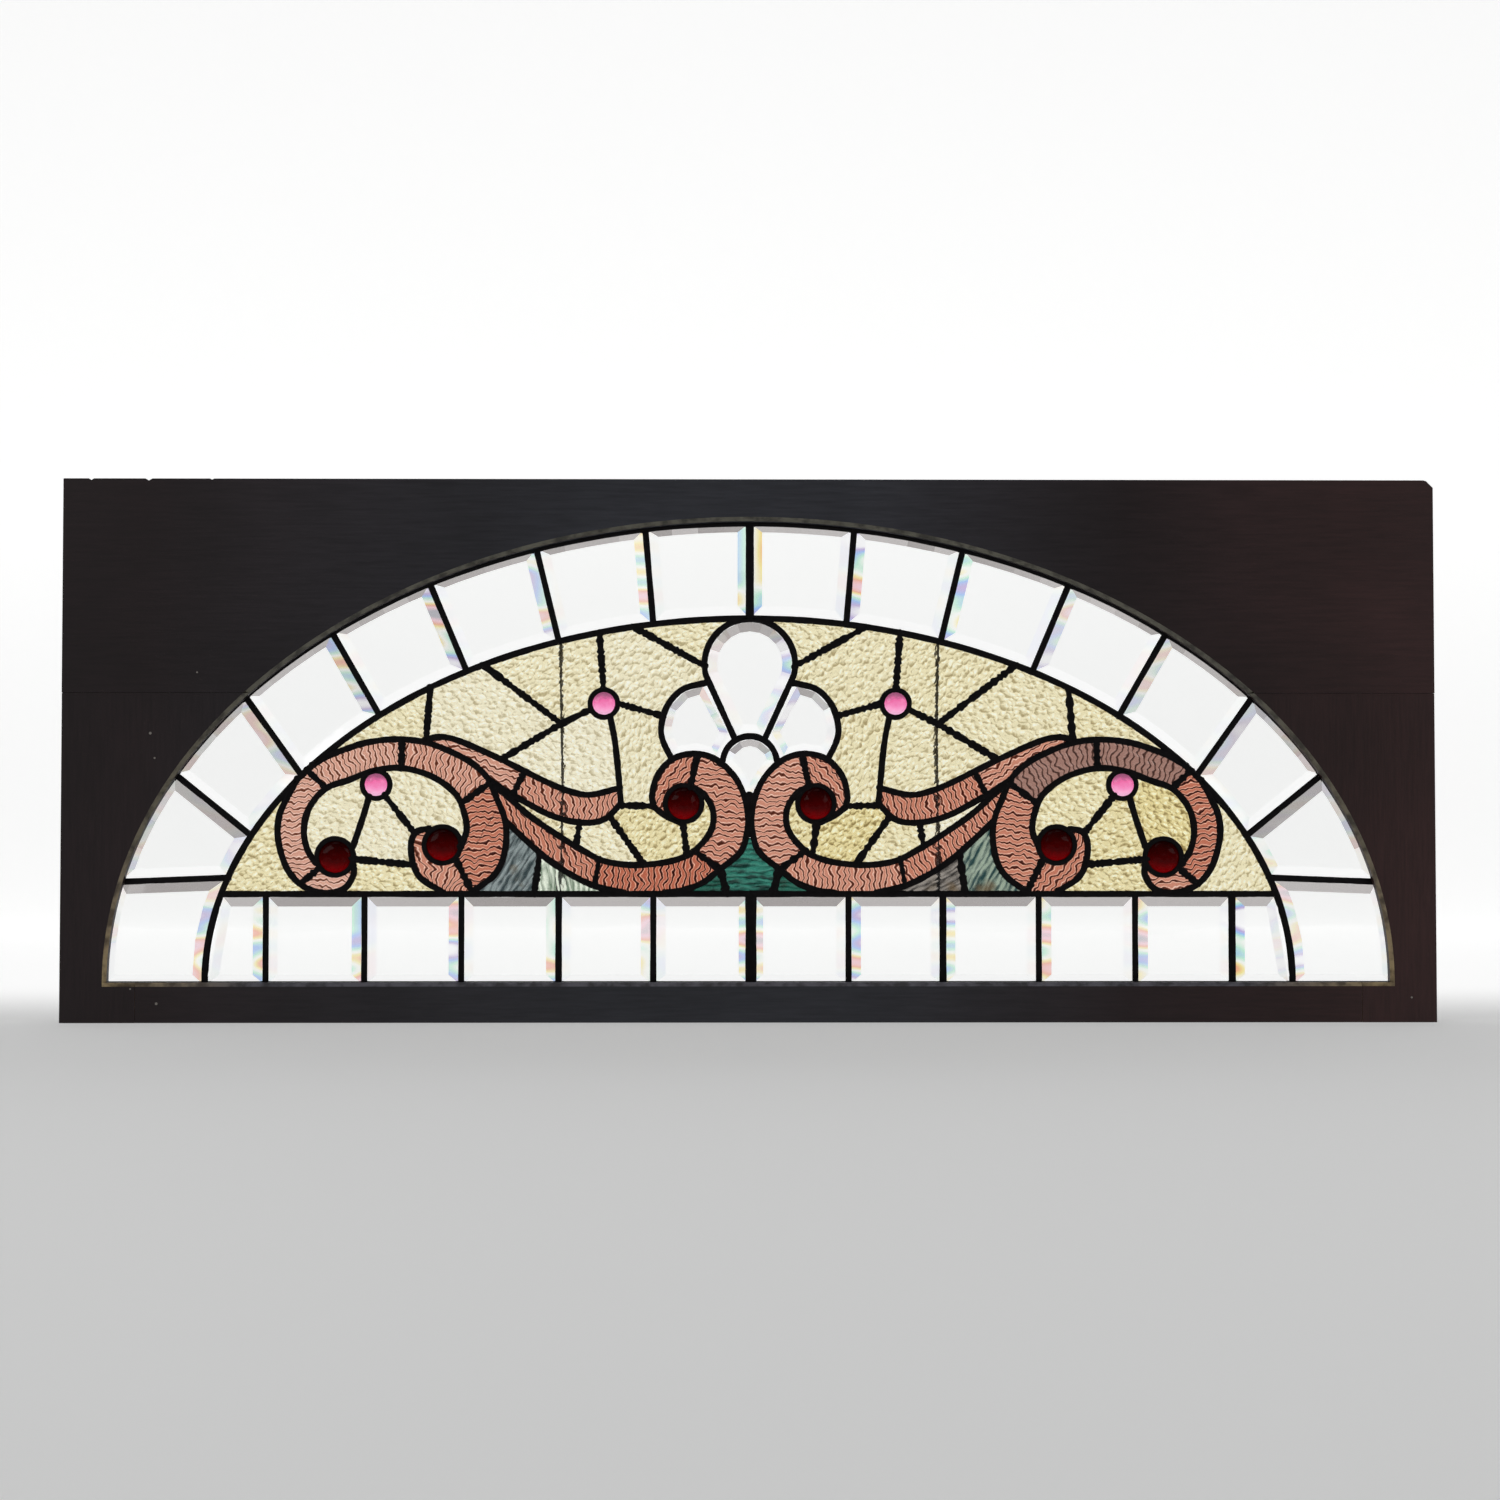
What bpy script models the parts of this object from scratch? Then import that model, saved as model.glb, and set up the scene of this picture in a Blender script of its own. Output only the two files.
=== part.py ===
"""Leaded glass window: an arched lead and glass panel in a painted wooden sash.

The window stands upright in the XZ plane and faces -Y. Its origin is the middle of the
bottom rail's underside. All sizes are in metres.
"""
import math

import bmesh
import bpy
from mathutils import Vector
from mathutils.geometry import delaunay_2d_cdt

# Sash
FRAME_WIDTH = 1.2192
FRAME_HEIGHT = 0.4826
FRAME_THICKNESS = 0.035
SIDE_MARGIN = 0.0376
HEAD_MARGIN = 0.0336
RAIL_HEIGHT = 0.032
SPRINGING_HEIGHT = 0.036
BOARD_JOINT_HEIGHT = 0.292
RAIL_END_MARGIN = 0.0666
CHAMFER_WIDTH = 0.0035
CHAMFER_DEPTH = 0.003
FRONT_LIP = 0.012
REBATE_WIDTH = 0.010
CORNER_BREAK = 0.0065
ARCH_SEGMENTS = 26

# Lead
LEAD_DEPTH = 0.006
FLANGE_THICKNESS = 0.0012
CAME_WIDTH = 0.0052
BORDER_WIDTH = 0.008
BORDER_SIDE_SIGHT = -0.001
BORDER_HEAD_SIGHT = 0.0037
BORDER_SILL_SIGHT = 0.0006
CENTRE_CAME_WIDTH = 0.007
CENTRE_POST_WIDTH = 0.010
RING_CAME_WIDTH = 0.0042
WIDE_CAME_WIDTH = 0.007
THIN_CAME_WIDTH = 0.0036
PANE_RING_WIDTH = 0.088
PANE_RING_HEIGHT = 0.0895
BAR_HEIGHT = 0.1135

# Glass
GAP = 0.0003
BEVEL_WIDTH = 0.0100
BEVEL_EDGE = 0.003
BEVEL_PLATE = 0.0056
PLATEAU_SHARES = {"teardrop": 0.74, "lobe": 0.60, "fan": 0.58}
RUBY_RADIUS = 0.014
PINK_RADIUS = 0.010
JEWEL_EDGE = 0.003
JEWEL_CROWN = 0.0045
JEWEL_TABLE_SHARE = 0.60
JEWEL_SIDES = 10

# Reinforcing bars on the back
SUPPORT_WIDTH = 0.0032
SUPPORT_DEPTH = 0.0095
SUPPORT_OFFSET = 0.168

# Curve quality: the most that a facet may leave its curve, and the shortest edge
CURVE_TOLERANCE = 0.0010
OUTLINE_TOLERANCE = 0.0012
SHORT_EDGE = 0.0015

# Derived sizes
SIGHT_HALF = FRAME_WIDTH / 2 - SIDE_MARGIN
SIGHT_RISE = FRAME_HEIGHT - HEAD_MARGIN - SPRINGING_HEIGHT
LIP_HALF = SIGHT_HALF - CHAMFER_WIDTH
LIP_RISE = SIGHT_RISE - CHAMFER_WIDTH
LIP_SILL = RAIL_HEIGHT + CHAMFER_WIDTH
BORDER_HALF = LIP_HALF - BORDER_SIDE_SIGHT + BORDER_WIDTH / 2
BORDER_RISE = LIP_RISE - BORDER_HEAD_SIGHT + BORDER_WIDTH / 2
BORDER_SILL = LIP_SILL + BORDER_SILL_SIGHT - BORDER_WIDTH / 2
INNER_HALF = SIGHT_HALF - PANE_RING_WIDTH
INNER_RISE = SIGHT_RISE - PANE_RING_HEIGHT
FRONT = -FRAME_THICKNESS / 2
BACK = FRAME_THICKNESS / 2
SEAT = FRONT + FRONT_LIP
LEAD_FRONT = SEAT + GAP
LEAD_BACK = LEAD_FRONT + LEAD_DEPTH
LEAD_MIDDLE = (LEAD_FRONT + LEAD_BACK) / 2

# The full-size drawing of the lead lines, in millimetres from its centre line and the
# sash's underside. It is drawn for the inner arch below and stretched to the real one.
DRAWN_HALF = 484.0
DRAWN_BORDER = 573.5
DRAWN_TOP = 359.5
DRAWN_BAR = 113.5
ON_ARCH = None
THROUGH = "through"

# Each line of the left half: points, curved or straight, and the stretches, from point
# to point, that cross glass of one sheet, where the lead lies on its two faces only.
SCROLL_OUTER = [(-389, 228.5), (-377, 235.5), (-360, 242.5), (-340, 248.6), (-315, 251.3),
                (-289, 248.5), (-265, 239.5), (-247, 229.5), (-233, 216), (-226, 200),
                (-217.6, 177), (-218.2, 151), (-227, 131), (-247.5, 115)]
SCROLL_END = [(-403, 216), (-412, 199), (-419, 182), (-419.5, 161), (-411.5, 136),
              (-397, 120.5), (-378, 114.6), (-361, 118.2), (-352.8, 130), (-352.5, 140)]
SCROLL_INNER = [(-386, 141), (-393.5, 153), (-396.8, 170), (-392.5, 189.5), (-378, 207),
                (-357, 215), (-335, 223.2), (-310, 225.6), (-283, 218), (-262.5, 203),
                (-254.5, 186), (-252.2, 170), (-257.5, 156)]
CURL = [(-286, 171.5), (-296.5, 169), (-301.5, 159), (-300, 142), (-292.5, 127.5),
        (-273, 115)]
S_UPPER = [(-298, 248.9), (-277, 253.4), (-258, 249.5), (-221, 233), (-180, 212.7),
           (-158, 204.2), (-141, 202), (-115.8, 208)]
S_LOWER = [(-233, 215.5), (-216, 204.7), (-196, 193), (-178, 183.8), (-160, 178.4),
           (-142, 177), (-128, 181), (-115, 194)]
RIBBON_UPPER = [(-229, 211), (-216, 200.5), (-196, 183), (-170, 165.2), (-150, 153),
                (-130, 143), (-105, 139.3), (-80, 141), (-62, 145.2), (-47, 152.6)]
RIBBON_LOWER = [(-220, 181.5), (-200, 162), (-180, 144.4), (-160, 131.2),
                (-138, 120.7), (-112, 114.8)]
VOLUTE_OUTER = [(-85.8, 191), (-87, 203), (-81.5, 220.5), (-67.5, 234.4), (-48, 238.6),
                (-29.5, 233), (-14, 218.5), (-5.2, 201.5), (-1.6, 184), (-2.6, 168),
                (-8.4, 150.8), (-26.5, 135.6), (-42, 123.6), (-60, 116.8), (-76, 114.8)]
VOLUTE_INNER = [(-50, 208), (-41, 202.3), (-33.2, 189), (-33.2, 174), (-40, 161.5),
                (-52, 149.6)]
VOLUTE_TAIL = [(-86, 191.5), (-75, 183), (-59, 175.5)]
LOBE = [(-69.5, 233.5), (-77.3, 249.5), (-79, 263), (-73.5, 281.5), (-60, 296),
        (-38.8, 302)]
JEWEL_STEM = [(-124.5, 271), (-120, 247), (-116, 208), (-114.8, 193)]
SCROLL_SPOKE = [(-339, 200), (-344.5, 181.5), (-353, 156)]
TEAL_SIDE = [(-26, 135), (-23.5, 125), (-20.5, 113.5)]

# By the sheet that a line crosses: points, curved, stretches on the faces only, width
LEAD_LINES = {
    "ripple_ribbon": [
        (SCROLL_OUTER, True, [(5, 10)], CAME_WIDTH),
        (SCROLL_END, True, [], CAME_WIDTH),
        (SCROLL_INNER, True, [], CAME_WIDTH),
        (CURL, True, [], CAME_WIDTH),
        (S_UPPER, True, [], CAME_WIDTH),
        (S_LOWER, True, [(0, 1)], CAME_WIDTH),
        (RIBBON_UPPER, True, [(0, 1)], CAME_WIDTH),
        (RIBBON_LOWER, True, [], CAME_WIDTH),
        (VOLUTE_OUTER, True, [], CAME_WIDTH),
        (VOLUTE_INNER, True, [], CAME_WIDTH),
        (VOLUTE_TAIL, True, [], CAME_WIDTH),
        (LOBE, True, [], CAME_WIDTH),
        ([(-394.5, 224), (-377.5, 208)], False, [(0, 1)], CAME_WIDTH),
        ([(-310, 251), (-310.5, 225.5)], False, [(0, 1)], CAME_WIDTH),
        ([(-233, 211.5), (-256.5, 194.5)], False, [(0, 1)], CAME_WIDTH),
        ([(-384, 135.5), (-400, 122.5)], False, [(0, 1)], CAME_WIDTH),
        ([(-261, 143), (-247.5, 116)], False, [(0, 1)], CAME_WIDTH),
        ([(-201, 222.5), (-211.5, 201)], False, [(0, 1)], CAME_WIDTH),
        ([(-134.3, 144.5), (-138.5, 121)], False, [(0, 1)], THIN_CAME_WIDTH),
        ([(-46.5, 238), (-53, 209)], False, [(0, 1)], CAME_WIDTH),
        ([(-50, 152), (-27, 135.8)], False, [(0, 1)], CAME_WIDTH)],
    "hammered_scroll": [
        (SCROLL_SPOKE, True, [(0, 2)], CAME_WIDTH),
        ([(-325.5, 201.5), (-299, 168.5)], False, [(0, 1)], CAME_WIDTH),
        ([(-354, 144.6), (-300.5, 139.6)], False, [(0, 1)], CAME_WIDTH)],
    "hammered_field": [
        (JEWEL_STEM, True, [(0, 2)], CAME_WIDTH),
        ([(-285, ON_ARCH), (-288.7, 249)], False, [(0, 1)], CAME_WIDTH),
        ([(-238, ON_ARCH), (-168.5, 265.5)], False, [(0, 1)], CAME_WIDTH),
        ([(-221.5, 233.5), (-168.5, 265), (-142, 278)], False, [(0, 2)], CAME_WIDTH),
        ([(-130.6, 296.5), (-134.3, ON_ARCH)], False, [(0, 1)], CAME_WIDTH),
        ([(-117, 283.2), (-77, 272)], False, [(0, 1)], CAME_WIDTH),
        ([(-104, ON_ARCH), (-39.5, 316.5)], False, [(0, 1)], CAME_WIDTH),
        ([(-115, 192.4), (-85.8, 191.8)], False, [(0, 1)], CAME_WIDTH),
        ([(-124.5, 182), (-94.5, 140)], False, [(0, 1)], CAME_WIDTH),
        ([(-151.5, 177.5), (-155, 155.5)], False, [(0, 1)], CAME_WIDTH),
        ([(-59.5, 176), (-56, 148)], False, [(0, 1)], CAME_WIDTH)],
    "streaky_side": [([(-187, 150), (-192, 113.5)], False, [(0, 1)], CAME_WIDTH)],
    "streaky_centre": [(TEAL_SIDE, True, [(0, 2)], WIDE_CAME_WIDTH)],
}

TEARDROP_CENTRE = (0, 318.5)
TEARDROP_RADIUS = 40.5
TEARDROP_START = math.radians(-14)
TEARDROP_FOOT = (-13, 251)
FAN_CENTRE = (0, 230)
FAN_RADIUS = 24.2
FAN_START = math.radians(4)
FAN_FOOT = (-26.5, 230)

# The seven radial cames of the left border: outer end and inner end
BORDER_SPOKES = [((-93.5, 438), (-86.2, 357)), ((-191, 417.5), (-170.5, 338)),
                 ((-286, 385.5), (-252.5, 313.5)), ((-373, 338), (-330, 271.5)),
                 ((-450, 280), (-399, 227)), ((-512, 207), (-443.5, 158.5)),
                 ((-560, 118), (-464, 115.3))]
BOTTOM_POSTS = [-87.5, -171.5, -257, -343, -430]

JEWELS = [("ruby_jewel", 1, (-59, 194), RUBY_RADIUS),
          ("ruby_jewel", 2, (-273.6, 157.2), RUBY_RADIUS),
          ("ruby_jewel", 3, (-369, 146.5), RUBY_RADIUS),
          ("pink_jewel", 1, (-130.2, 283.3), PINK_RADIUS),
          ("pink_jewel", 2, (-332.8, 210.8), PINK_RADIUS)]

# One point inside each piece of figured glass of the left half, by the sheet it is in
SHEETS = {
    "ripple_ribbon": [(-407, 165), (-345, 235), (-270, 226), (-236, 165), (-378, 123),
                      (-278, 128), (-235, 229), (-160, 191), (-180, 158), (-90, 127),
                      (-72, 220), (-18, 185)],
    "hammered_scroll": [(-372, 185), (-330, 165), (-290, 195), (-325, 127)],
    "hammered_field": [(-310, 268), (-230, 270), (-180, 300), (-165, 235), (-90, 310),
                       (-60, 345), (-100, 235), (-171, 173), (-135, 160), (-80, 165),
                       (-41, 178)],
    "hammered_corner": [(-435, 145)],
    "streaky_side": [(-203, 135), (-175, 123)],
}
CENTRE_SHEET = ("streaky_centre", [(-40, 118.6), (0, 130), (40, 118.6)])
BEVEL_SEEDS = [("teardrop_bevel", (0, 310)), ("fan_bevel", (0, 236)),
               ("lobe_bevel_left", (-50, 265)), ("lobe_bevel_right", (50, 265))]


def clear_scene():
    for old in list(bpy.data.objects):
        bpy.data.objects.remove(old, do_unlink=True)


def make_material(name, colour, roughness, metallic=0.0, transmission=0.0):
    material = bpy.data.materials.new(name)
    material.use_nodes = True
    shader = material.node_tree.nodes["Principled BSDF"]
    shader.inputs["Base Color"].default_value = (*colour, 1.0)
    shader.inputs["Roughness"].default_value = roughness
    shader.inputs["Metallic"].default_value = metallic
    shader.inputs["Transmission Weight"].default_value = transmission
    material.diffuse_color = (*colour, 1.0)
    return material


def add_object(name, bm, material):
    """Turn a bmesh into a named object with its normals facing out."""
    bmesh.ops.remove_doubles(bm, verts=bm.verts, dist=1e-6)
    bmesh.ops.recalc_face_normals(bm, faces=bm.faces)
    if bm.calc_volume(signed=True) < 0:
        bmesh.ops.reverse_faces(bm, faces=bm.faces)
    mesh = bpy.data.meshes.new(name)
    bm.to_mesh(mesh)
    bm.free()
    mesh.materials.append(material)
    piece = bpy.data.objects.new(name, mesh)
    bpy.context.collection.objects.link(piece)
    return piece


def arch_height(x, half, rise):
    """Height of a half ellipse over the springing line."""
    return SPRINGING_HEIGHT + rise * math.sqrt(max(0.0, 1 - (x / half) ** 2))


def on_window(x, z):
    """Carry a point of the drawing, in millimetres, to the window, in metres."""
    real_x = x / DRAWN_HALF * INNER_HALF
    if z is ON_ARCH:
        return Vector((real_x, arch_height(real_x, INNER_HALF, INNER_RISE)))
    top = SPRINGING_HEIGHT + INNER_RISE
    share = (z - DRAWN_BAR) / (DRAWN_TOP - DRAWN_BAR)
    return Vector((real_x, BAR_HEIGHT + share * (top - BAR_HEIGHT)))


def spline(points, steps=12):
    """Points of a Catmull-Rom curve, and where each given point is among them."""
    padded = [2 * points[0] - points[1], *points, 2 * points[-1] - points[-2]]
    curve = []
    marks = [0]
    for a, b, c, d in zip(padded, padded[1:], padded[2:], padded[3:]):
        for step in range(steps):
            t = step / steps
            curve.append(0.5 * (2 * b + (c - a) * t + (2 * a - 5 * b + 4 * c - d) * t ** 2
                                + (3 * b - a - 3 * c + d) * t ** 3))
        marks.append(len(curve))
    curve.append(points[-1].copy())
    return curve, marks


def thinned(points, tolerance):
    """Drop the points of a line that lie within the tolerance of a straight run."""
    if len(points) < 3:
        return points
    first, last = points[0], points[-1]
    run = last - first
    if run.length < 1e-9:
        distances = [(p - first).length for p in points]
    else:
        distances = [abs(run.cross(p - first)) / run.length for p in points]
    far = max(range(len(points)), key=lambda k: distances[k])
    if distances[far] <= tolerance:
        return [first, last]
    return thinned(points[:far + 1], tolerance)[:-1] + thinned(points[far:], tolerance)


def strip(line, width, crossed=(), closed=False):
    """Quads of a strip along a line, mitred at its bends, with what each one crosses."""
    count = len(line)
    sides = []
    for k, point in enumerate(line):
        before = line[k - 1] if k or closed else None
        after = line[(k + 1) % count] if k < count - 1 or closed else None
        ways = []
        if before is not None:
            ways.append((point - before).normalized())
        if after is not None:
            ways.append((after - point).normalized())
        way = sum(ways, Vector((0, 0))).normalized()
        across = Vector((-way.y, way.x))
        reach = width / 2 / max(0.5, way.dot(ways[0]))
        sides.append((point + across * reach, point - across * reach))
    pairs = list(zip(sides, sides[1:]))
    if closed:
        pairs.append((sides[-1], sides[0]))
    crossed = crossed or [THROUGH] * len(pairs)
    return [([a[1], b[1], b[0], a[0]], kind) for (a, b), kind in zip(pairs, crossed)]


def arc(centre, radius, start, end, steps):
    return [Vector((centre[0] + radius * math.cos(start + (end - start) * k / steps),
                    centre[1] + radius * math.sin(start + (end - start) * k / steps)))
            for k in range(steps + 1)]


def mirrored(points):
    return [Vector((-p.x, p.y)) for p in points]


def ellipse_line(half, rise, sill, segments):
    """Closed line round the panel: an elliptical arch on a straight sill."""
    line = [Vector((half, sill))]
    for k in range(1, segments):
        angle = math.pi * k / segments
        line.append(Vector((half * math.cos(angle),
                            SPRINGING_HEIGHT + rise * math.sin(angle))))
    line.append(Vector((-half, sill)))
    return line


def tied_to_ring(drawn, placed):
    """Carry the end of a line that is drawn up to a jewel to the middle of its ring."""
    for _, _, centre, radius in JEWELS:
        reach = 1000 * (radius + RING_CAME_WIDTH) + 1
        if drawn[1] is not ON_ARCH and math.dist(drawn, centre) < reach:
            hub = on_window(*centre)
            return hub + (placed - hub).normalized() * (radius + RING_CAME_WIDTH / 2)
    return placed


def drawn_lead():
    """The drawn lead lines of both halves as quads, each with the sheet it crosses."""
    lead = []
    for sheet, drawn in LEAD_LINES.items():
        for points, curved, face_runs, width in drawn:
            placed = [on_window(x, z) for x, z in points]
            for end in (0, -1):
                placed[end] = tied_to_ring(points[end], placed[end])
            if curved:
                curve, marks = spline(placed)
            else:
                curve, marks = placed, list(range(len(placed)))
            cuts = sorted({0, len(points) - 1, *[end for run in face_runs for end in run]})
            line = [placed[0]]
            crossed = []
            for first, last in zip(cuts, cuts[1:]):
                on_faces = any(a <= first and last <= b for a, b in face_runs)
                run = thinned(curve[marks[first]:marks[last] + 1], CURVE_TOLERANCE)
                line += run[1:]
                crossed += [sheet if on_faces else THROUGH] * (len(run) - 1)
            lead += strip(line, width, crossed)
            lead += strip(mirrored(line), width, crossed)
    return lead


def teardrop_line():
    round_part = arc(TEARDROP_CENTRE, TEARDROP_RADIUS, math.pi - TEARDROP_START,
                     TEARDROP_START, 18)
    drawn = [Vector(TEARDROP_FOOT), *round_part, Vector((-TEARDROP_FOOT[0],
                                                         TEARDROP_FOOT[1]))]
    return [on_window(p.x, p.y) for p in drawn]


def fan_line():
    round_part = arc(FAN_CENTRE, FAN_RADIUS, math.pi - FAN_START, FAN_START, 12)
    drawn = [Vector(FAN_FOOT), *round_part, Vector((-FAN_FOOT[0], FAN_FOOT[1]))]
    return [on_window(p.x, p.y) for p in drawn]


def built_lead():
    """The lead that follows from the sash and from single sizes, as quads."""
    border = ellipse_line(BORDER_HALF, BORDER_RISE, BORDER_SILL, ARCH_SEGMENTS)
    inner = [Vector((INNER_HALF * math.cos(math.pi * k / 32),
                     SPRINGING_HEIGHT + INNER_RISE * math.sin(math.pi * k / 32)))
             for k in range(33)]
    inner = [Vector((INNER_HALF, BORDER_SILL)), *inner, Vector((-INNER_HALF, BORDER_SILL))]
    bar_end = INNER_HALF * math.sqrt(1 - ((BAR_HEIGHT - SPRINGING_HEIGHT) / INNER_RISE) ** 2)
    crown = Vector((0, SPRINGING_HEIGHT + BORDER_RISE))
    lead = strip(border, BORDER_WIDTH, closed=True)
    lead += strip(inner, CAME_WIDTH)
    lead += strip([Vector((-bar_end, BAR_HEIGHT)), Vector((bar_end, BAR_HEIGHT))], CAME_WIDTH)
    lead += strip([Vector((0, SPRINGING_HEIGHT + INNER_RISE)), crown], CENTRE_CAME_WIDTH)
    lead += strip([Vector((0, BORDER_SILL)), Vector((0, BAR_HEIGHT))], CENTRE_POST_WIDTH)
    lead += strip(teardrop_line(), CAME_WIDTH)
    lead += strip(fan_line(), CAME_WIDTH)
    for x in BOTTOM_POSTS:
        foot = Vector((on_window(x, DRAWN_BAR).x, BORDER_SILL))
        post = [foot, Vector((foot.x, BAR_HEIGHT))]
        lead += strip(post, CAME_WIDTH) + strip(mirrored(post), CAME_WIDTH)
    for spoke in spokes():
        lead += strip(spoke, CAME_WIDTH) + strip(mirrored(spoke), CAME_WIDTH)
    for _, _, centre, radius in JEWELS:
        ring = jewel_ring(on_window(*centre), radius)
        for side in (ring, mirrored(ring)):
            lead += strip(side, RING_CAME_WIDTH, closed=True)
    return lead


def spokes():
    """Border spokes: each end is carried to the border or to the inner arch."""
    ends = []
    for outer, inner in BORDER_SPOKES:
        outer_share = outer[0] / DRAWN_BORDER
        inner_share = inner[0] / DRAWN_HALF
        ends.append([Vector((BORDER_HALF * outer_share,
                             arch_height(outer_share, 1, BORDER_RISE))),
                     Vector((INNER_HALF * inner_share,
                             arch_height(inner_share, 1, INNER_RISE)))])
    return ends


def jewel_ring(centre, radius):
    reach = (radius + RING_CAME_WIDTH / 2) / math.cos(math.pi / JEWEL_SIDES)
    return arc(centre, reach, 0, 2 * math.pi, JEWEL_SIDES)[:-1]


def inside_quad(point, quad):
    return all((b - a).cross(point - a) >= 0 for a, b in zip(quad, quad[1:] + quad[:1]))


def counter_clockwise(quad):
    area = sum(a.cross(b) for a, b in zip(quad, quad[1:] + quad[:1]))
    return quad if area > 0 else quad[::-1]


def sheet_kind(name):
    return name if name in LEAD_LINES else name.rsplit("_", 1)[0]


def crossed_sheet(found):
    """The one sheet that the lead here crosses, THROUGH, or None for no lead."""
    if len(set(found)) == 1:
        return found[0]
    return THROUGH if found else None


def outline_graph(quads):
    """Edges where the lead begins, ends, or changes between through and face lead."""
    points = []
    faces = []
    for quad, _ in quads:
        faces.append(list(range(len(points), len(points) + 4)))
        points.extend(quad)
    verts, _, tris, _, _, sources = delaunay_2d_cdt(points, [], faces, 0, 1e-6, True)
    state = {}
    for tri, source in zip(tris, sources):
        kind = crossed_sheet([quads[k][1] for k in source])
        for a, b in zip(tri, tri[1:] + tri[:1]):
            state.setdefault(frozenset((a, b)), []).append(kind)
    edges = [tuple(edge) for edge, kinds in state.items()
             if (kinds[0] if len(kinds) == 1 else kinds[0] != kinds[1])]
    return verts, edges


def merged_graph(verts, edges):
    """Close up very short edges, then thin every run between two junctions."""
    home = list(range(len(verts)))

    def root(k):
        while home[k] != k:
            k = home[k]
        return k

    for a, b in edges:
        if (verts[a] - verts[b]).length < SHORT_EDGE:
            home[root(a)] = root(b)
    links = {}
    for a, b in edges:
        a, b = root(a), root(b)
        if a != b:
            links.setdefault(a, set()).add(b)
            links.setdefault(b, set()).add(a)
    junctions = [k for k in links if len(links[k]) != 2]
    used = set()
    runs = []
    for start in junctions + sorted(links):
        for step in sorted(links[start]):
            if (start, step) in used:
                continue
            run = [start, step]
            used.update({(start, step), (step, start)})
            while run[-1] != start and len(links[run[-1]]) == 2:
                following = [k for k in links[run[-1]] if (run[-1], k) not in used]
                if not following:
                    break
                used.update({(run[-1], following[0]), (following[0], run[-1])})
                run.append(following[0])
            runs.append(run)
    result = set()
    for run in runs:
        where = {tuple(verts[k]): k for k in run}
        if run[0] == run[-1]:
            half = max(range(len(run)), key=lambda k: (verts[run[k]] - verts[run[0]]).length)
            kept = (thinned([verts[k] for k in run[:half + 1]], OUTLINE_TOLERANCE)[:-1]
                    + thinned([verts[k] for k in run[half:]], OUTLINE_TOLERANCE))
        else:
            kept = thinned([verts[k] for k in run], OUTLINE_TOLERANCE)
        ids = [where[tuple(p)] for p in kept]
        result.update(frozenset(pair) for pair in zip(ids, ids[1:]) if pair[0] != pair[1])
    return [tuple(edge) for edge in result]


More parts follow.
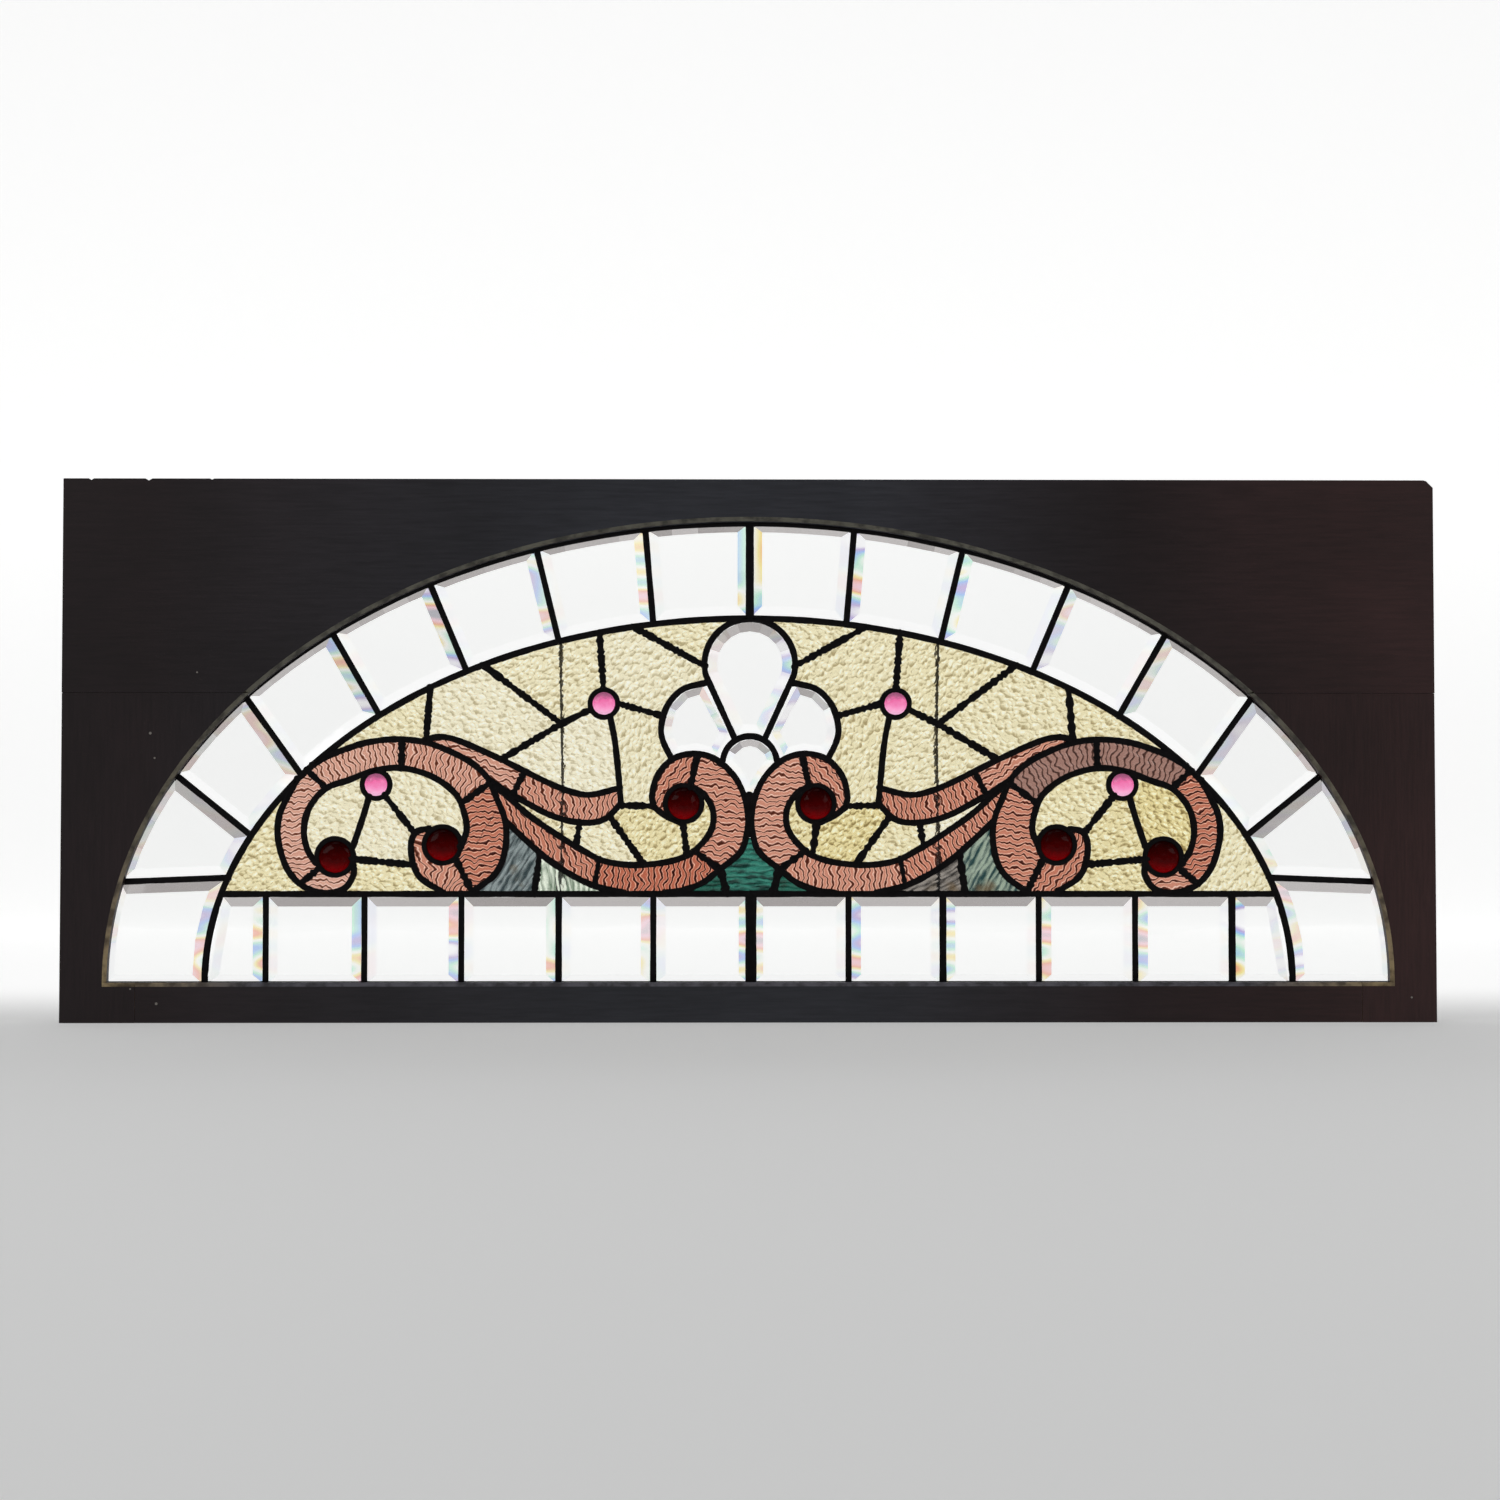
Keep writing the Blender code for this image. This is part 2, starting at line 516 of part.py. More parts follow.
class LeadPlan:
    """The lead seen from the front, as triangles sorted into openings and lead."""

    def __init__(self, lead, seeds):
        quads = [(counter_clockwise(quad), crossed) for quad, crossed in lead]
        verts, edges = outline_graph(quads)
        edges = sorted(tuple(sorted(e)) for e in merged_graph(verts, edges))
        used = sorted({k for e in edges for k in e})
        number = {k: n for n, k in enumerate(used)}
        points = [verts[k] for k in used]
        edges = [(number[a], number[b]) for a, b in edges]
        found = delaunay_2d_cdt(points, edges, [], 1, 1e-7, True)
        self.verts, drawn_edges, self.tris = found[0], found[1], found[2]
        walls = {frozenset(e) for e, source in zip(drawn_edges, found[4]) if source}
        self.group = self.find_groups(walls)
        self.names = self.name_groups(seeds)
        self.kind = self.lead_kinds(quads)
        self.level = [0 if k is None else 2 if k == THROUGH else 1 for k in self.kind]

    def find_groups(self, walls):
        """Number the areas that the outlines part from each other."""
        beside = {}
        for number, tri in enumerate(self.tris):
            for a, b in zip(tri, tri[1:] + tri[:1]):
                beside.setdefault(frozenset((a, b)), []).append(number)
        self.beside = beside
        group = [-1] * len(self.tris)
        count = 0
        for start in range(len(self.tris)):
            if group[start] >= 0:
                continue
            group[start] = count
            stack = [start]
            while stack:
                tri = self.tris[stack.pop()]
                for a, b in zip(tri, tri[1:] + tri[:1]):
                    edge = frozenset((a, b))
                    if edge in walls:
                        continue
                    for other in beside[edge]:
                        if group[other] < 0:
                            group[other] = count
                            stack.append(other)
            count += 1
        return group

    def holds(self, tri, point):
        corners = [self.verts[k] for k in tri]
        return inside_quad(point, counter_clockwise(corners))

    def name_groups(self, seeds):
        names = {}
        for name, point in seeds:
            for number, tri in enumerate(self.tris):
                if self.holds(tri, point):
                    names[self.group[number]] = name
                    break
        return names

    def lead_kinds(self, quads):
        """The crossed sheet, THROUGH, or None for an opening, of each triangle."""
        largest = {}
        for number, tri in enumerate(self.tris):
            a, b, c = (self.verts[k] for k in tri)
            area = abs((b - a).cross(c - a))
            if area > largest.get(self.group[number], (0, None))[0]:
                largest[self.group[number]] = (area, (a + b + c) / 3)
        kinds = {}
        for number, (_, middle) in largest.items():
            hits = [crossed for quad, crossed in quads if inside_quad(middle, quad)]
            kinds[number] = crossed_sheet(hits or [THROUGH])
            if number in self.names:
                kinds[number] = None
        return [kinds.get(number, THROUGH) for number in self.group]

    def loops(self, chosen):
        """Closed outlines of the chosen triangles, each with them on its left."""
        following = {}
        for number in chosen:
            tri = [k for k in self.tris[number]]
            corners = [self.verts[k] for k in tri]
            if counter_clockwise(corners) != corners:
                tri.reverse()
            for a, b in zip(tri, tri[1:] + tri[:1]):
                if not any(n in chosen for n in self.beside[frozenset((a, b))]
                           if n != number):
                    following.setdefault(a, []).append(b)
        loops = []
        while following:
            start = min(following)
            loop = [start]
            here = self.step(following, None, start)
            while here != start:
                loop.append(here)
                here = self.step(following, loop[-2], here)
            loops.append([self.verts[k] for k in loop])
        return loops

    def step(self, following, before, here):
        """Leave a point by the sharpest left turn, so that loops stay apart."""
        choices = following[here]
        if len(choices) > 1 and before is not None:
            came = (self.verts[here] - self.verts[before]).normalized()

            def turn(k):
                leave = (self.verts[k] - self.verts[here]).normalized()
                return math.atan2(came.cross(leave), came.dot(leave))
            pick = max(choices, key=turn)
        else:
            pick = choices[0]
        choices.remove(pick)
        if not choices:
            del following[here]
        return pick

    def opening(self, name):
        chosen = {n for n, g in enumerate(self.group) if self.names.get(g) == name}
        return self.loops(chosen)

    def sheet_area(self, name):
        """The openings of one sheet with the face lead that crosses it."""
        chosen = {n for n, g in enumerate(self.group) if self.names.get(g) == name}
        crossed = sheet_kind(name)
        stack = list(chosen)
        while stack:
            tri = self.tris[stack.pop()]
            for a, b in zip(tri, tri[1:] + tri[:1]):
                for other in self.beside[frozenset((a, b))]:
                    if other not in chosen and self.kind[other] == crossed:
                        chosen.add(other)
                        stack.append(other)
        return self.loops(chosen)


def inset(loop, distance):
    """Move a counter-clockwise loop inwards; a clockwise hole grows."""
    moved = []
    for before, here, after in zip(loop[-1:] + loop[:-1], loop, loop[1:] + loop[:1]):
        one = (here - before).normalized()
        two = (after - here).normalized()
        way = (one + two).normalized()
        reach = distance / max(0.1, way.dot(one))
        moved.append(here + Vector((-way.y, way.x)) * reach)
    return moved


def add_lead(plan, material):
    """One lead network: both faces whole, the heart only where it runs through."""
    depths = [LEAD_FRONT, LEAD_FRONT + FLANGE_THICKNESS, LEAD_BACK - FLANGE_THICKNESS,
              LEAD_BACK]
    bm = bmesh.new()
    made = {}

    def corner(k, depth):
        key = (k, depth)
        if key not in made:
            made[key] = bm.verts.new((plan.verts[k].x, depths[depth], plan.verts[k].y))
        return made[key]

    solid = [[lev > 0, lev > 1, lev > 0] for lev in plan.level]
    for number, tri in enumerate(plan.tris):
        below = False
        for depth in range(4):
            above = solid[number][depth] if depth < 3 else False
            if above != below:
                bm.faces.new([corner(k, depth) for k in tri])
            below = above
    needed = {}
    for (k, depth) in made:
        needed.setdefault(k, set()).add(depth)
    for edge, owners in plan.beside.items():
        a, b = sorted(edge)
        first = solid[owners[0]]
        second = solid[owners[1]] if len(owners) > 1 else [False] * 3
        wall = [one != two for one, two in zip(first, second)]
        depth = 0
        while depth < 3:
            if not wall[depth]:
                depth += 1
                continue
            last = depth
            while last < 3 and wall[last]:
                last += 1
            levels = range(depth, last + 1)
            ring = [corner(a, d) for d in levels if d in (depth, last) or d in needed[a]]
            ring += [corner(b, d) for d in reversed(levels)
                     if d in (depth, last) or d in needed[b]]
            bm.faces.new(ring)
            depth = last
    return add_object("lead_cames", bm, material)


def add_slab(name, loops, front, back, material):
    """A flat sheet with the given outline, holes included."""
    points = []
    edges = []
    for loop in loops:
        start = len(points)
        points += loop
        edges += [(start + k, start + (k + 1) % len(loop)) for k in range(len(loop))]
    found = delaunay_2d_cdt(points, edges, [], 1, 1e-7, True)
    verts, tris = found[0], found[2]
    walls = {frozenset(e) for e, source in zip(found[1], found[4]) if source}
    inside = even_triangles(tris, walls)
    bm = bmesh.new()
    near = [bm.verts.new((v.x, front, v.y)) for v in verts]
    far = [bm.verts.new((v.x, back, v.y)) for v in verts]
    for tri in inside:
        bm.faces.new([near[k] for k in tri])
        bm.faces.new([far[k] for k in tri])
    for wall in walls:
        a, b = sorted(wall)
        bm.faces.new([near[a], near[b], far[b], far[a]])
    return add_object(name, bm, material)


def even_triangles(tris, walls):
    """Triangles reached from outside by crossing an odd number of outline edges."""
    beside = {}
    for number, tri in enumerate(tris):
        for a, b in zip(tri, tri[1:] + tri[:1]):
            beside.setdefault(frozenset((a, b)), []).append(number)
    crossings = {}
    stack = []
    for edge, owners in beside.items():
        if len(owners) == 1 and owners[0] not in crossings:
            crossings[owners[0]] = 1 if edge in walls else 0
            stack.append(owners[0])
    while stack:
        number = stack.pop()
        tri = tris[number]
        for a, b in zip(tri, tri[1:] + tri[:1]):
            edge = frozenset((a, b))
            for other in beside[edge]:
                if other not in crossings:
                    crossings[other] = crossings[number] + (1 if edge in walls else 0)
                    stack.append(other)
    return [tri for number, tri in enumerate(tris) if crossings[number] % 2]


def add_levels(name, levels, material):
    """A solid through outlines of equal count, from front to back."""
    bm = bmesh.new()
    rings = [[bm.verts.new((p.x, depth, p.y)) for p in outline]
             for depth, outline in levels]
    count = len(rings[0])
    for ring, following in zip(rings, rings[1:]):
        for k in range(count):
            m = (k + 1) % count
            corners = [ring[k], ring[m], following[m], following[k]]
            places = {tuple(round(c, 7) for c in v.co) for v in corners}
            if len(places) > 2:
                bm.faces.new(corners)
    bm.faces.new(rings[0])
    bm.faces.new(rings[-1])
    bmesh.ops.remove_doubles(bm, verts=bm.verts, dist=1e-6)
    bmesh.ops.dissolve_degenerate(bm, dist=1e-6, edges=bm.edges)
    return add_object(name, bm, material)


def add_bevel(name, loop, plateau, material):
    """Clear plate: thick in the middle, ground down to a thin edge all round."""
    back = LEAD_MIDDLE + BEVEL_EDGE / 2
    levels = [(back - BEVEL_PLATE, plateau), (back - BEVEL_EDGE, loop), (back, loop)]
    return add_levels(name, levels, material)


def add_jewel(name, loop, material):
    """Pressed round jewel: a faceted crown in front of a flat back."""
    centre = sum(loop, Vector((0, 0))) / len(loop)
    table = [centre + (p - centre) * JEWEL_TABLE_SHARE for p in loop]
    back = LEAD_MIDDLE + JEWEL_EDGE / 2
    edge = back - JEWEL_EDGE
    levels = [(edge - JEWEL_CROWN, table), (edge, loop), (back, loop)]
    return add_levels(name, levels, material)


def opening_edge(half, rise, sill, low, high, steps):
    """Points of the sash opening's left edge between two heights, going up."""
    start = math.asin(max(0.0, (low - SPRINGING_HEIGHT) / rise))
    end = math.asin(min(1.0, (high - SPRINGING_HEIGHT) / rise))
    angles = [start + (end - start) * k / steps for k in range(steps + 1)]
    line = [Vector((-half * math.cos(a), SPRINGING_HEIGHT + rise * math.sin(a)))
            for a in angles]
    if low < SPRINGING_HEIGHT:
        line.insert(0, Vector((-half, sill)))
    return line


OPENING_LEVELS = [
    (FRONT, SIGHT_HALF, SIGHT_RISE, RAIL_HEIGHT),
    (FRONT + CHAMFER_DEPTH, LIP_HALF, LIP_RISE, LIP_SILL),
    (SEAT, LIP_HALF, LIP_RISE, LIP_SILL),
    (SEAT, LIP_HALF + REBATE_WIDTH, LIP_RISE + REBATE_WIDTH, LIP_SILL - REBATE_WIDTH),
    (BACK, LIP_HALF + REBATE_WIDTH, LIP_RISE + REBATE_WIDTH, LIP_SILL - REBATE_WIDTH),
]


def add_sash(material):
    outer = FRAME_WIDTH / 2
    joint = BOARD_JOINT_HEIGHT
    rail_end = outer - RAIL_END_MARGIN
    side_steps = ARCH_SEGMENTS // 4
    head_steps = ARCH_SEGMENTS // 2 - side_steps + 2
    side_levels = []
    head_levels = []
    rail_levels = []
    for depth, half, rise, sill in OPENING_LEVELS:
        edge = opening_edge(half, rise, sill, 0, joint - GAP / 2, side_steps)
        side_levels.append((depth, [Vector((-outer, 0)), Vector((-rail_end - GAP / 2, 0)),
                                    Vector((-rail_end - GAP / 2, sill)), *edge,
                                    Vector((-outer, joint - GAP / 2))]))
        top = SPRINGING_HEIGHT + rise
        left = opening_edge(half, rise, sill, joint + GAP / 2, top, head_steps)
        arch = left + mirrored(left[:-1])[::-1]
        head_levels.append((depth, [Vector((-outer, joint + GAP / 2)), *arch,
                                    Vector((outer, joint + GAP / 2)),
                                    Vector((outer, FRAME_HEIGHT - CORNER_BREAK)),
                                    Vector((outer - CORNER_BREAK, FRAME_HEIGHT)),
                                    Vector((-outer, FRAME_HEIGHT))]))
        end = rail_end - GAP / 2
        rail_levels.append((depth, [Vector((-end, 0)), Vector((end, 0)),
                                    Vector((end, sill)), Vector((-end, sill))]))
    add_levels("head_board", head_levels, material)
    add_levels("side_board_left", side_levels, material)
    right = [(depth, mirrored(outline)[::-1]) for depth, outline in side_levels]
    add_levels("side_board_right", right, material)
    add_levels("bottom_rail", rail_levels, material)


def add_supports(material):
    """Flat reinforcing bars on edge behind the panel, from the arch to the bar."""
    front = LEAD_BACK + GAP
    top = arch_height(SUPPORT_OFFSET, INNER_HALF, INNER_RISE)
    for side, name in ((-1, "support_bar_left"), (1, "support_bar_right")):
        x = side * SUPPORT_OFFSET
        outline = [Vector((x - SUPPORT_WIDTH / 2, BAR_HEIGHT)),
                   Vector((x + SUPPORT_WIDTH / 2, BAR_HEIGHT)),
                   Vector((x + SUPPORT_WIDTH / 2, top)),
                   Vector((x - SUPPORT_WIDTH / 2, top))]
        add_levels(name, [(front, outline), (front + SUPPORT_DEPTH, outline)], material)


def middle(*points):
    return sum(points, Vector((0, 0))) / len(points)


def border_seeds():
    """A point in each border pane of the left half, from the crown down."""
    centre = [Vector((0, SPRINGING_HEIGHT + BORDER_RISE)),
              Vector((0, SPRINGING_HEIGHT + INNER_RISE))]
    foot = [Vector((-BORDER_HALF, BORDER_SILL)), Vector((-INNER_HALF, BORDER_SILL))]
    ends = [centre, *spokes(), foot]
    return [middle(*one, *two) for one, two in zip(ends, ends[1:])]


def bottom_seeds():
    """A point in each bottom pane of the left half, from the middle out."""
    posts = [0] + [on_window(x, DRAWN_BAR).x for x in BOTTOM_POSTS] + [-INNER_HALF]
    height = (BORDER_SILL + BAR_HEIGHT) / 2
    return [Vector(((a + b) / 2, height)) for a, b in zip(posts, posts[1:])]


def both_sides(name, point):
    return [(name + "_left", point), (name + "_right", Vector((-point.x, point.y)))]


def all_seeds():
    """(node name, point in the opening) for every piece of glass, by kind."""
    seeds = {"bevel": [], "jewel": [], "sheet": []}
    for number, point in enumerate(border_seeds(), 1):
        seeds["bevel"] += both_sides("border_bevel_%d" % number, point)
    for number, point in enumerate(bottom_seeds(), 1):
        seeds["bevel"] += both_sides("bottom_bevel_%d" % number, point)
    seeds["bevel"] += [(name, on_window(*point)) for name, point in BEVEL_SEEDS]
    for name, number, centre, _ in JEWELS:
        seeds["jewel"] += both_sides("%s_%d" % (name, number), on_window(*centre))
    for name, points in SHEETS.items():
        for point in points:
            seeds["sheet"] += both_sides(name, on_window(*point))
    name, points = CENTRE_SHEET
    seeds["sheet"] += [(name, on_window(*point)) for point in points]
    return seeds


def plateau_of(name, loop):
    """The top of a bevelled plate inside its ground edge."""
    for kind, share in PLATEAU_SHARES.items():
        if name.startswith(kind):
            centre = middle(*loop)
            return [centre + (p - centre) * share for p in loop]
    return inset(loop, BEVEL_WIDTH)


def glass_materials():
    salmon = make_material("salmon_ripple_glass", (0.67, 0.27, 0.17), 0.25)
    cream = make_material("cream_hammered_glass", (0.83, 0.76, 0.49), 0.3)
    return {
        "clear": make_material("clear_bevelled_glass", (0.9, 0.93, 0.95), 0.02, 0, 1),
        "ruby_jewel": make_material("ruby_jewel_glass", (0.20, 0.0, 0.004), 0.05),
        "pink_jewel": make_material("pink_jewel_glass", (0.9, 0.25, 0.5), 0.05),
        "ripple_ribbon": salmon,
        "hammered_scroll": cream,
        "hammered_field": cream,
        "hammered_corner": cream,
        "streaky_side": make_material("grey_green_streaky_glass", (0.22, 0.27, 0.26), 0.3),
        "streaky_centre": make_material("teal_streaky_glass", (0.03, 0.2, 0.14), 0.3),
    }


def build():
    clear_scene()
    wood = make_material("dark_painted_wood", (0.016, 0.012, 0.012), 0.5)
    lead = make_material("dark_lead", (0.03, 0.03, 0.033), 0.55, 0.6)
    steel = make_material("dark_steel_bar", (0.05, 0.045, 0.04), 0.6, 0.8)
    glass = glass_materials()

    seeds = all_seeds()
    every_seed = [seed for kind in seeds.values() for seed in kind]
    plan = LeadPlan(drawn_lead() + built_lead(), every_seed)
    add_lead(plan, lead)

    for name, _ in seeds["bevel"]:
        loop = inset(plan.opening(name)[0], GAP)
        add_bevel(name, loop, plateau_of(name, loop), glass["clear"])
    for name, _ in seeds["jewel"]:
        loop = inset(plan.opening(name)[0], GAP)
        add_jewel(name, loop, glass[name[:10]])
    front = LEAD_FRONT + FLANGE_THICKNESS + GAP
    back = LEAD_BACK - FLANGE_THICKNESS - GAP
    for name in sorted({name for name, _ in seeds["sheet"]}):
        loops = [inset(loop, GAP) for loop in plan.sheet_area(name)]
        add_slab(name, loops, front, back, glass[sheet_kind(name)])

    add_sash(wood)
    add_supports(steel)


build()
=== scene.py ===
# A leaded glass window: the looks of its lead, its glass and its painted sash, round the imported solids.
# Places are in millimetres from the centre line and the underside of the sash; addPiece makes them metres.
import math

import bpy
import numpy as np
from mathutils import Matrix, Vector
from mathutils.geometry import delaunay_2d_cdt


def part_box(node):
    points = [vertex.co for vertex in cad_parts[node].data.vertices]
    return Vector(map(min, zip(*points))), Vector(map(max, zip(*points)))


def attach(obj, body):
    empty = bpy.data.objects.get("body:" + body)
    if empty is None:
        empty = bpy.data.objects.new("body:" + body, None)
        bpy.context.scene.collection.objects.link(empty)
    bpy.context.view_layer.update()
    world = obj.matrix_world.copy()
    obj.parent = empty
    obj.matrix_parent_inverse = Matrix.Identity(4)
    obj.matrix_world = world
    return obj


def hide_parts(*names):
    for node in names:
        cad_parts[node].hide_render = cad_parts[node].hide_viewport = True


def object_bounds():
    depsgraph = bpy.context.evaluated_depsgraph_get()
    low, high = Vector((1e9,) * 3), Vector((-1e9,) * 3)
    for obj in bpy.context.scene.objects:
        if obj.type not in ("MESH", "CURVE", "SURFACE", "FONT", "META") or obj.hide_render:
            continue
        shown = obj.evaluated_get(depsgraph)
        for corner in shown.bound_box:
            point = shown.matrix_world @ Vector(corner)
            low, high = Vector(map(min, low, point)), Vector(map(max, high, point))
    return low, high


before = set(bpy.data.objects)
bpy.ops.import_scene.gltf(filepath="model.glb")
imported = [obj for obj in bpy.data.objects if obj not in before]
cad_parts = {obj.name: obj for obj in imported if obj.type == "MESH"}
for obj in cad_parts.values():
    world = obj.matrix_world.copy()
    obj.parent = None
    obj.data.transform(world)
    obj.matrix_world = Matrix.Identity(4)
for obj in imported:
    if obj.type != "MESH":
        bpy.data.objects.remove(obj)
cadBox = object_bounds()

millimetre = 0.001
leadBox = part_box("lead_cames")
panelMiddle = 500 * (leadBox[0].y + leadBox[1].y)

# The sash and its opening, a half ellipse on a straight sill
sash = {
    "half": 500 * (cadBox[1].x - cadBox[0].x),
    "height": 1000 * cadBox[1].z,
    "front": 1000 * cadBox[0].y,
    "back": 1000 * cadBox[1].y,
    "springing": 36.0,      # where the arch starts
    "sightHalf": 572.0,
    "sightRise": 413.0,
    "sill": 32.0,
    # the bevel's colour is painted light from the glass, with wear
    "chamfer": 3.5,         # worn bevel along the sight edge
    "chamferDepth": 3.0,
    "lip": 12.0,            # wood in front of the panel
    "rebate": 10.0,
    "joint": 292.0,         # height of the joint under the head board
    "railEnd": 543.0,
    "seam": 0.15,           # half the gap between two boards
    "arris": 0.8,
    "cornerBreak": 6.5,
    "headRows": 420,        # sections along each board
    "sideRows": 130,
    "railRows": 60,
}
cames = {
    "width": 5.6,
    "thinWidth": 3.8,
    "wideWidth": 7.2,
    "crownWidth": 7.4,      # the spoke at the top of the arch
    "borderWidth": 8.0,
    "ringWidth": 4.6,
    "depth": 5.9,
    "heart": 1.2,           # wall between two pieces of glass
    "reach": 2.4,           # how far a heart runs in under the next came
    "channel": 3.5,         # room between the two flanges
    "step": 2.0,            # spacing along a curve
    "archStep": 6.0,        # the same along the inner arch
    "rimStep": 8.0,         # and along the border
    "unevenness": 0.05,
    "ragged": 0.06,         # how far the cemented edges wander from point to point
    "raggedStraight": 0.4,  # the same on the straight lines of the field
    "solderRadius": 3.0,
    "solderHeight": 0.3,
}
border = {
    "band": 88.0,           # from the sight edge to the inner arch, at the sides
    "crownBand": 89.5,
    "sideLap": 1.0,         # the border came hides behind the lip at the sides
    "crownShow": 3.7,       # and shows by this much round the crown
    "sillShow": 0.6,
}
lipHalf = sash["sightHalf"] - sash["chamfer"]
lipRise = sash["sightRise"] - sash["chamfer"]
innerHalf = sash["sightHalf"] - border["band"]
innerRise = sash["sightRise"] - border["crownBand"]
barHeight = 113.5           # middle of the straight came over the bottom row
borderHalf = lipHalf + border["sideLap"] + cames["borderWidth"] / 2
borderRise = lipRise - border["crownShow"] + cames["borderWidth"] / 2
borderSill = sash["sill"] + sash["chamfer"] + border["sillShow"] - cames["borderWidth"] / 2


# Height of a half ellipse above the springing: rise times the root of one less the squared share of x.
def archHeight(x, half, rise):
    return sash["springing"] + rise * np.sqrt(np.clip(1 - (np.asarray(x, float) / half) ** 2, 0, None))


# Half width of a half ellipse at a height: half times the root of one less the squared share of the height.
def archHalf(z, half, rise):
    return half * math.sqrt(1 - ((z - sash["springing"]) / rise) ** 2)


# Points of a half ellipse: half times the cosine of each angle, rise times its sine above the springing.
def archPoints(angle, half, rise):
    return np.stack([half * np.cos(angle), sash["springing"] + rise * np.sin(angle)], 1)


# The point of the inner arch over x, by its height there
def onInnerArch(x):
    return (x, float(archHeight(x, innerHalf, innerRise)))


# The same for the border came's middle
def onBorder(x):
    return (x, float(archHeight(x, borderHalf, borderRise)))


# Even steps along a line: lengths are summed, and each coordinate is read off at equal lengths.
def evenSteps(line, spacing):
    line = np.asarray(line, float)
    along = np.concatenate([[0], np.cumsum(np.hypot(*np.diff(line, axis=0).T))])
    count = max(2, int(math.ceil(along[-1] / spacing)) + 1)
    wanted = np.linspace(0, along[-1], count)
    return np.stack([np.interp(wanted, along, line[:, 0]), np.interp(wanted, along, line[:, 1])], 1)


# Smooth line through points: the Catmull-Rom cubic of every four neighbours, then even steps.
def smoothLine(points, spacing):
    p = np.asarray(points, float)
    padded = np.vstack([2 * p[0] - p[1], p, 2 * p[-1] - p[-2]])
    a, b, c, d = (padded[k:len(padded) - 3 + k, None, :] for k in range(4))
    t = np.linspace(0, 1, 16, endpoint=False)[None, :, None]
    curve = 0.5 * (2 * b + (c - a) * t + (2 * a - 5 * b + 4 * c - d) * t ** 2
                   + (3 * b - a - 3 * c + d) * t ** 3)
    return evenSteps(np.vstack([curve.reshape(-1, 2), p[-1:]]), spacing)


# Arc of a circle: centre plus radius times cosine and sine of even angles.
def arcLine(centre, radius, start, end, count):
    angle = np.linspace(math.radians(start), math.radians(end), count)
    return np.stack([centre[0] + radius * np.cos(angle), centre[1] + radius * np.sin(angle)], 1)


# The same points on the other side of the middle
def mirrored(points):
    return np.asarray(points, float) * (-1, 1)


# The lead lines of the left half, curved ones first
scrollLines = [
    [(-389, 228.5), (-377, 235.5), (-360, 242.5), (-340, 248.6), (-315, 251.3), (-289, 248.5), (-265, 239.5),
     (-247, 229.5), (-233, 216), (-226, 200), (-217.6, 177), (-218.2, 151), (-227, 131), (-247.5, 115)],
    [(-403, 216), (-412, 199), (-419, 182), (-419.5, 161), (-411.5, 136), (-397, 120.5), (-378, 114.6),
     (-361, 118.2), (-352.8, 130), (-352.5, 140)],
    [(-386, 141), (-393.5, 153), (-396.8, 170), (-392.5, 189.5), (-378, 207), (-357, 215), (-335, 223.2),
     (-310, 225.6), (-283, 218), (-262.5, 203), (-254.5, 186), (-252.2, 170), (-257.5, 156)],
    [(-286, 171.5), (-296.5, 169), (-301.5, 159), (-300, 142), (-292.5, 127.5), (-273, 115)],
    [(-291, 250), (-277, 253.4), (-258, 249.5), (-221, 233), (-180, 212.7), (-158, 204.2), (-141, 202),
     (-115.8, 208)],
    [(-233, 215.5), (-216, 204.7), (-196, 193), (-178, 183.8), (-160, 178.4), (-142, 177), (-128, 181),
     (-115, 194)],
    [(-229, 211), (-216, 200.5), (-196, 183), (-170, 165.2), (-150, 153), (-130, 143), (-105, 139.3),
     (-80, 141), (-62, 145.2), (-47, 152.6)],
    [(-217.6, 178.5), (-200, 162), (-180, 144.4), (-160, 131.2), (-138, 120.7), (-112, 114.8)],
    [(-85.8, 191), (-87, 203), (-81.5, 220.5), (-67.5, 234.4), (-48, 238.6), (-29.5, 233), (-14, 218.5),
     (-5.2, 201.5), (-1.6, 184), (-2.6, 168), (-8.4, 150.8), (-26.5, 135.6), (-42, 123.6), (-60, 116.8),
     (-76, 114.8)],
    [(-50, 208), (-41, 202.3), (-33.2, 189), (-33.2, 174), (-40, 161.5), (-52, 149.6)],
    [(-86, 191.5), (-75, 183), (-59, 175.5)],
    [(-69.5, 233.5), (-77.3, 249.5), (-79, 263), (-73.5, 281.5), (-60, 296), (-38.8, 302)],
    [(-124.5, 271), (-120, 247), (-116, 208), (-114.8, 193)],
    [(-339, 200), (-344.5, 181.5), (-353, 156)],
]
straightLines = [
    [(-394.5, 224), (-377.5, 208)], [(-310, 251), (-310.5, 225.5)], [(-233, 211.5), (-256.5, 194.5)],
    [(-384, 135.5), (-400, 122.5)], [(-261, 143), (-247.5, 116)], [(-325.5, 201.5), (-299, 168.5)],
    [(-354, 144.6), (-300.5, 139.6)], [(-201, 222.5), (-211.5, 201)], [(-46.5, 238), (-53, 209)],
    [(-50, 152), (-27, 135.8)], [onInnerArch(-285), (-288.7, 249)], [onInnerArch(-238), (-168.5, 265.5)],
    [(-221.5, 233.5), (-168.5, 265), (-142, 278)], [(-130.6, 296.5), onInnerArch(-134.3)],
    [(-117, 283.2), (-77, 272)], [onInnerArch(-104), (-39.5, 316.5)], [(-115, 192.4), (-85.8, 191.8)],
    [(-124.5, 182), (-94.5, 140)], [(-151.5, 177.5), (-155, 155.5)], [(-59.5, 176), (-56, 148)],
    [(-187, 150), (-192, 113.5)],
]
thinLines = [[(-134.3, 144.5), (-138.5, 121)]]
wideLines = [[(-26, 135), (-23.5, 125), (-20.5, 113.5)]]
volutesMeet = [(0, 166), (0, 202)]
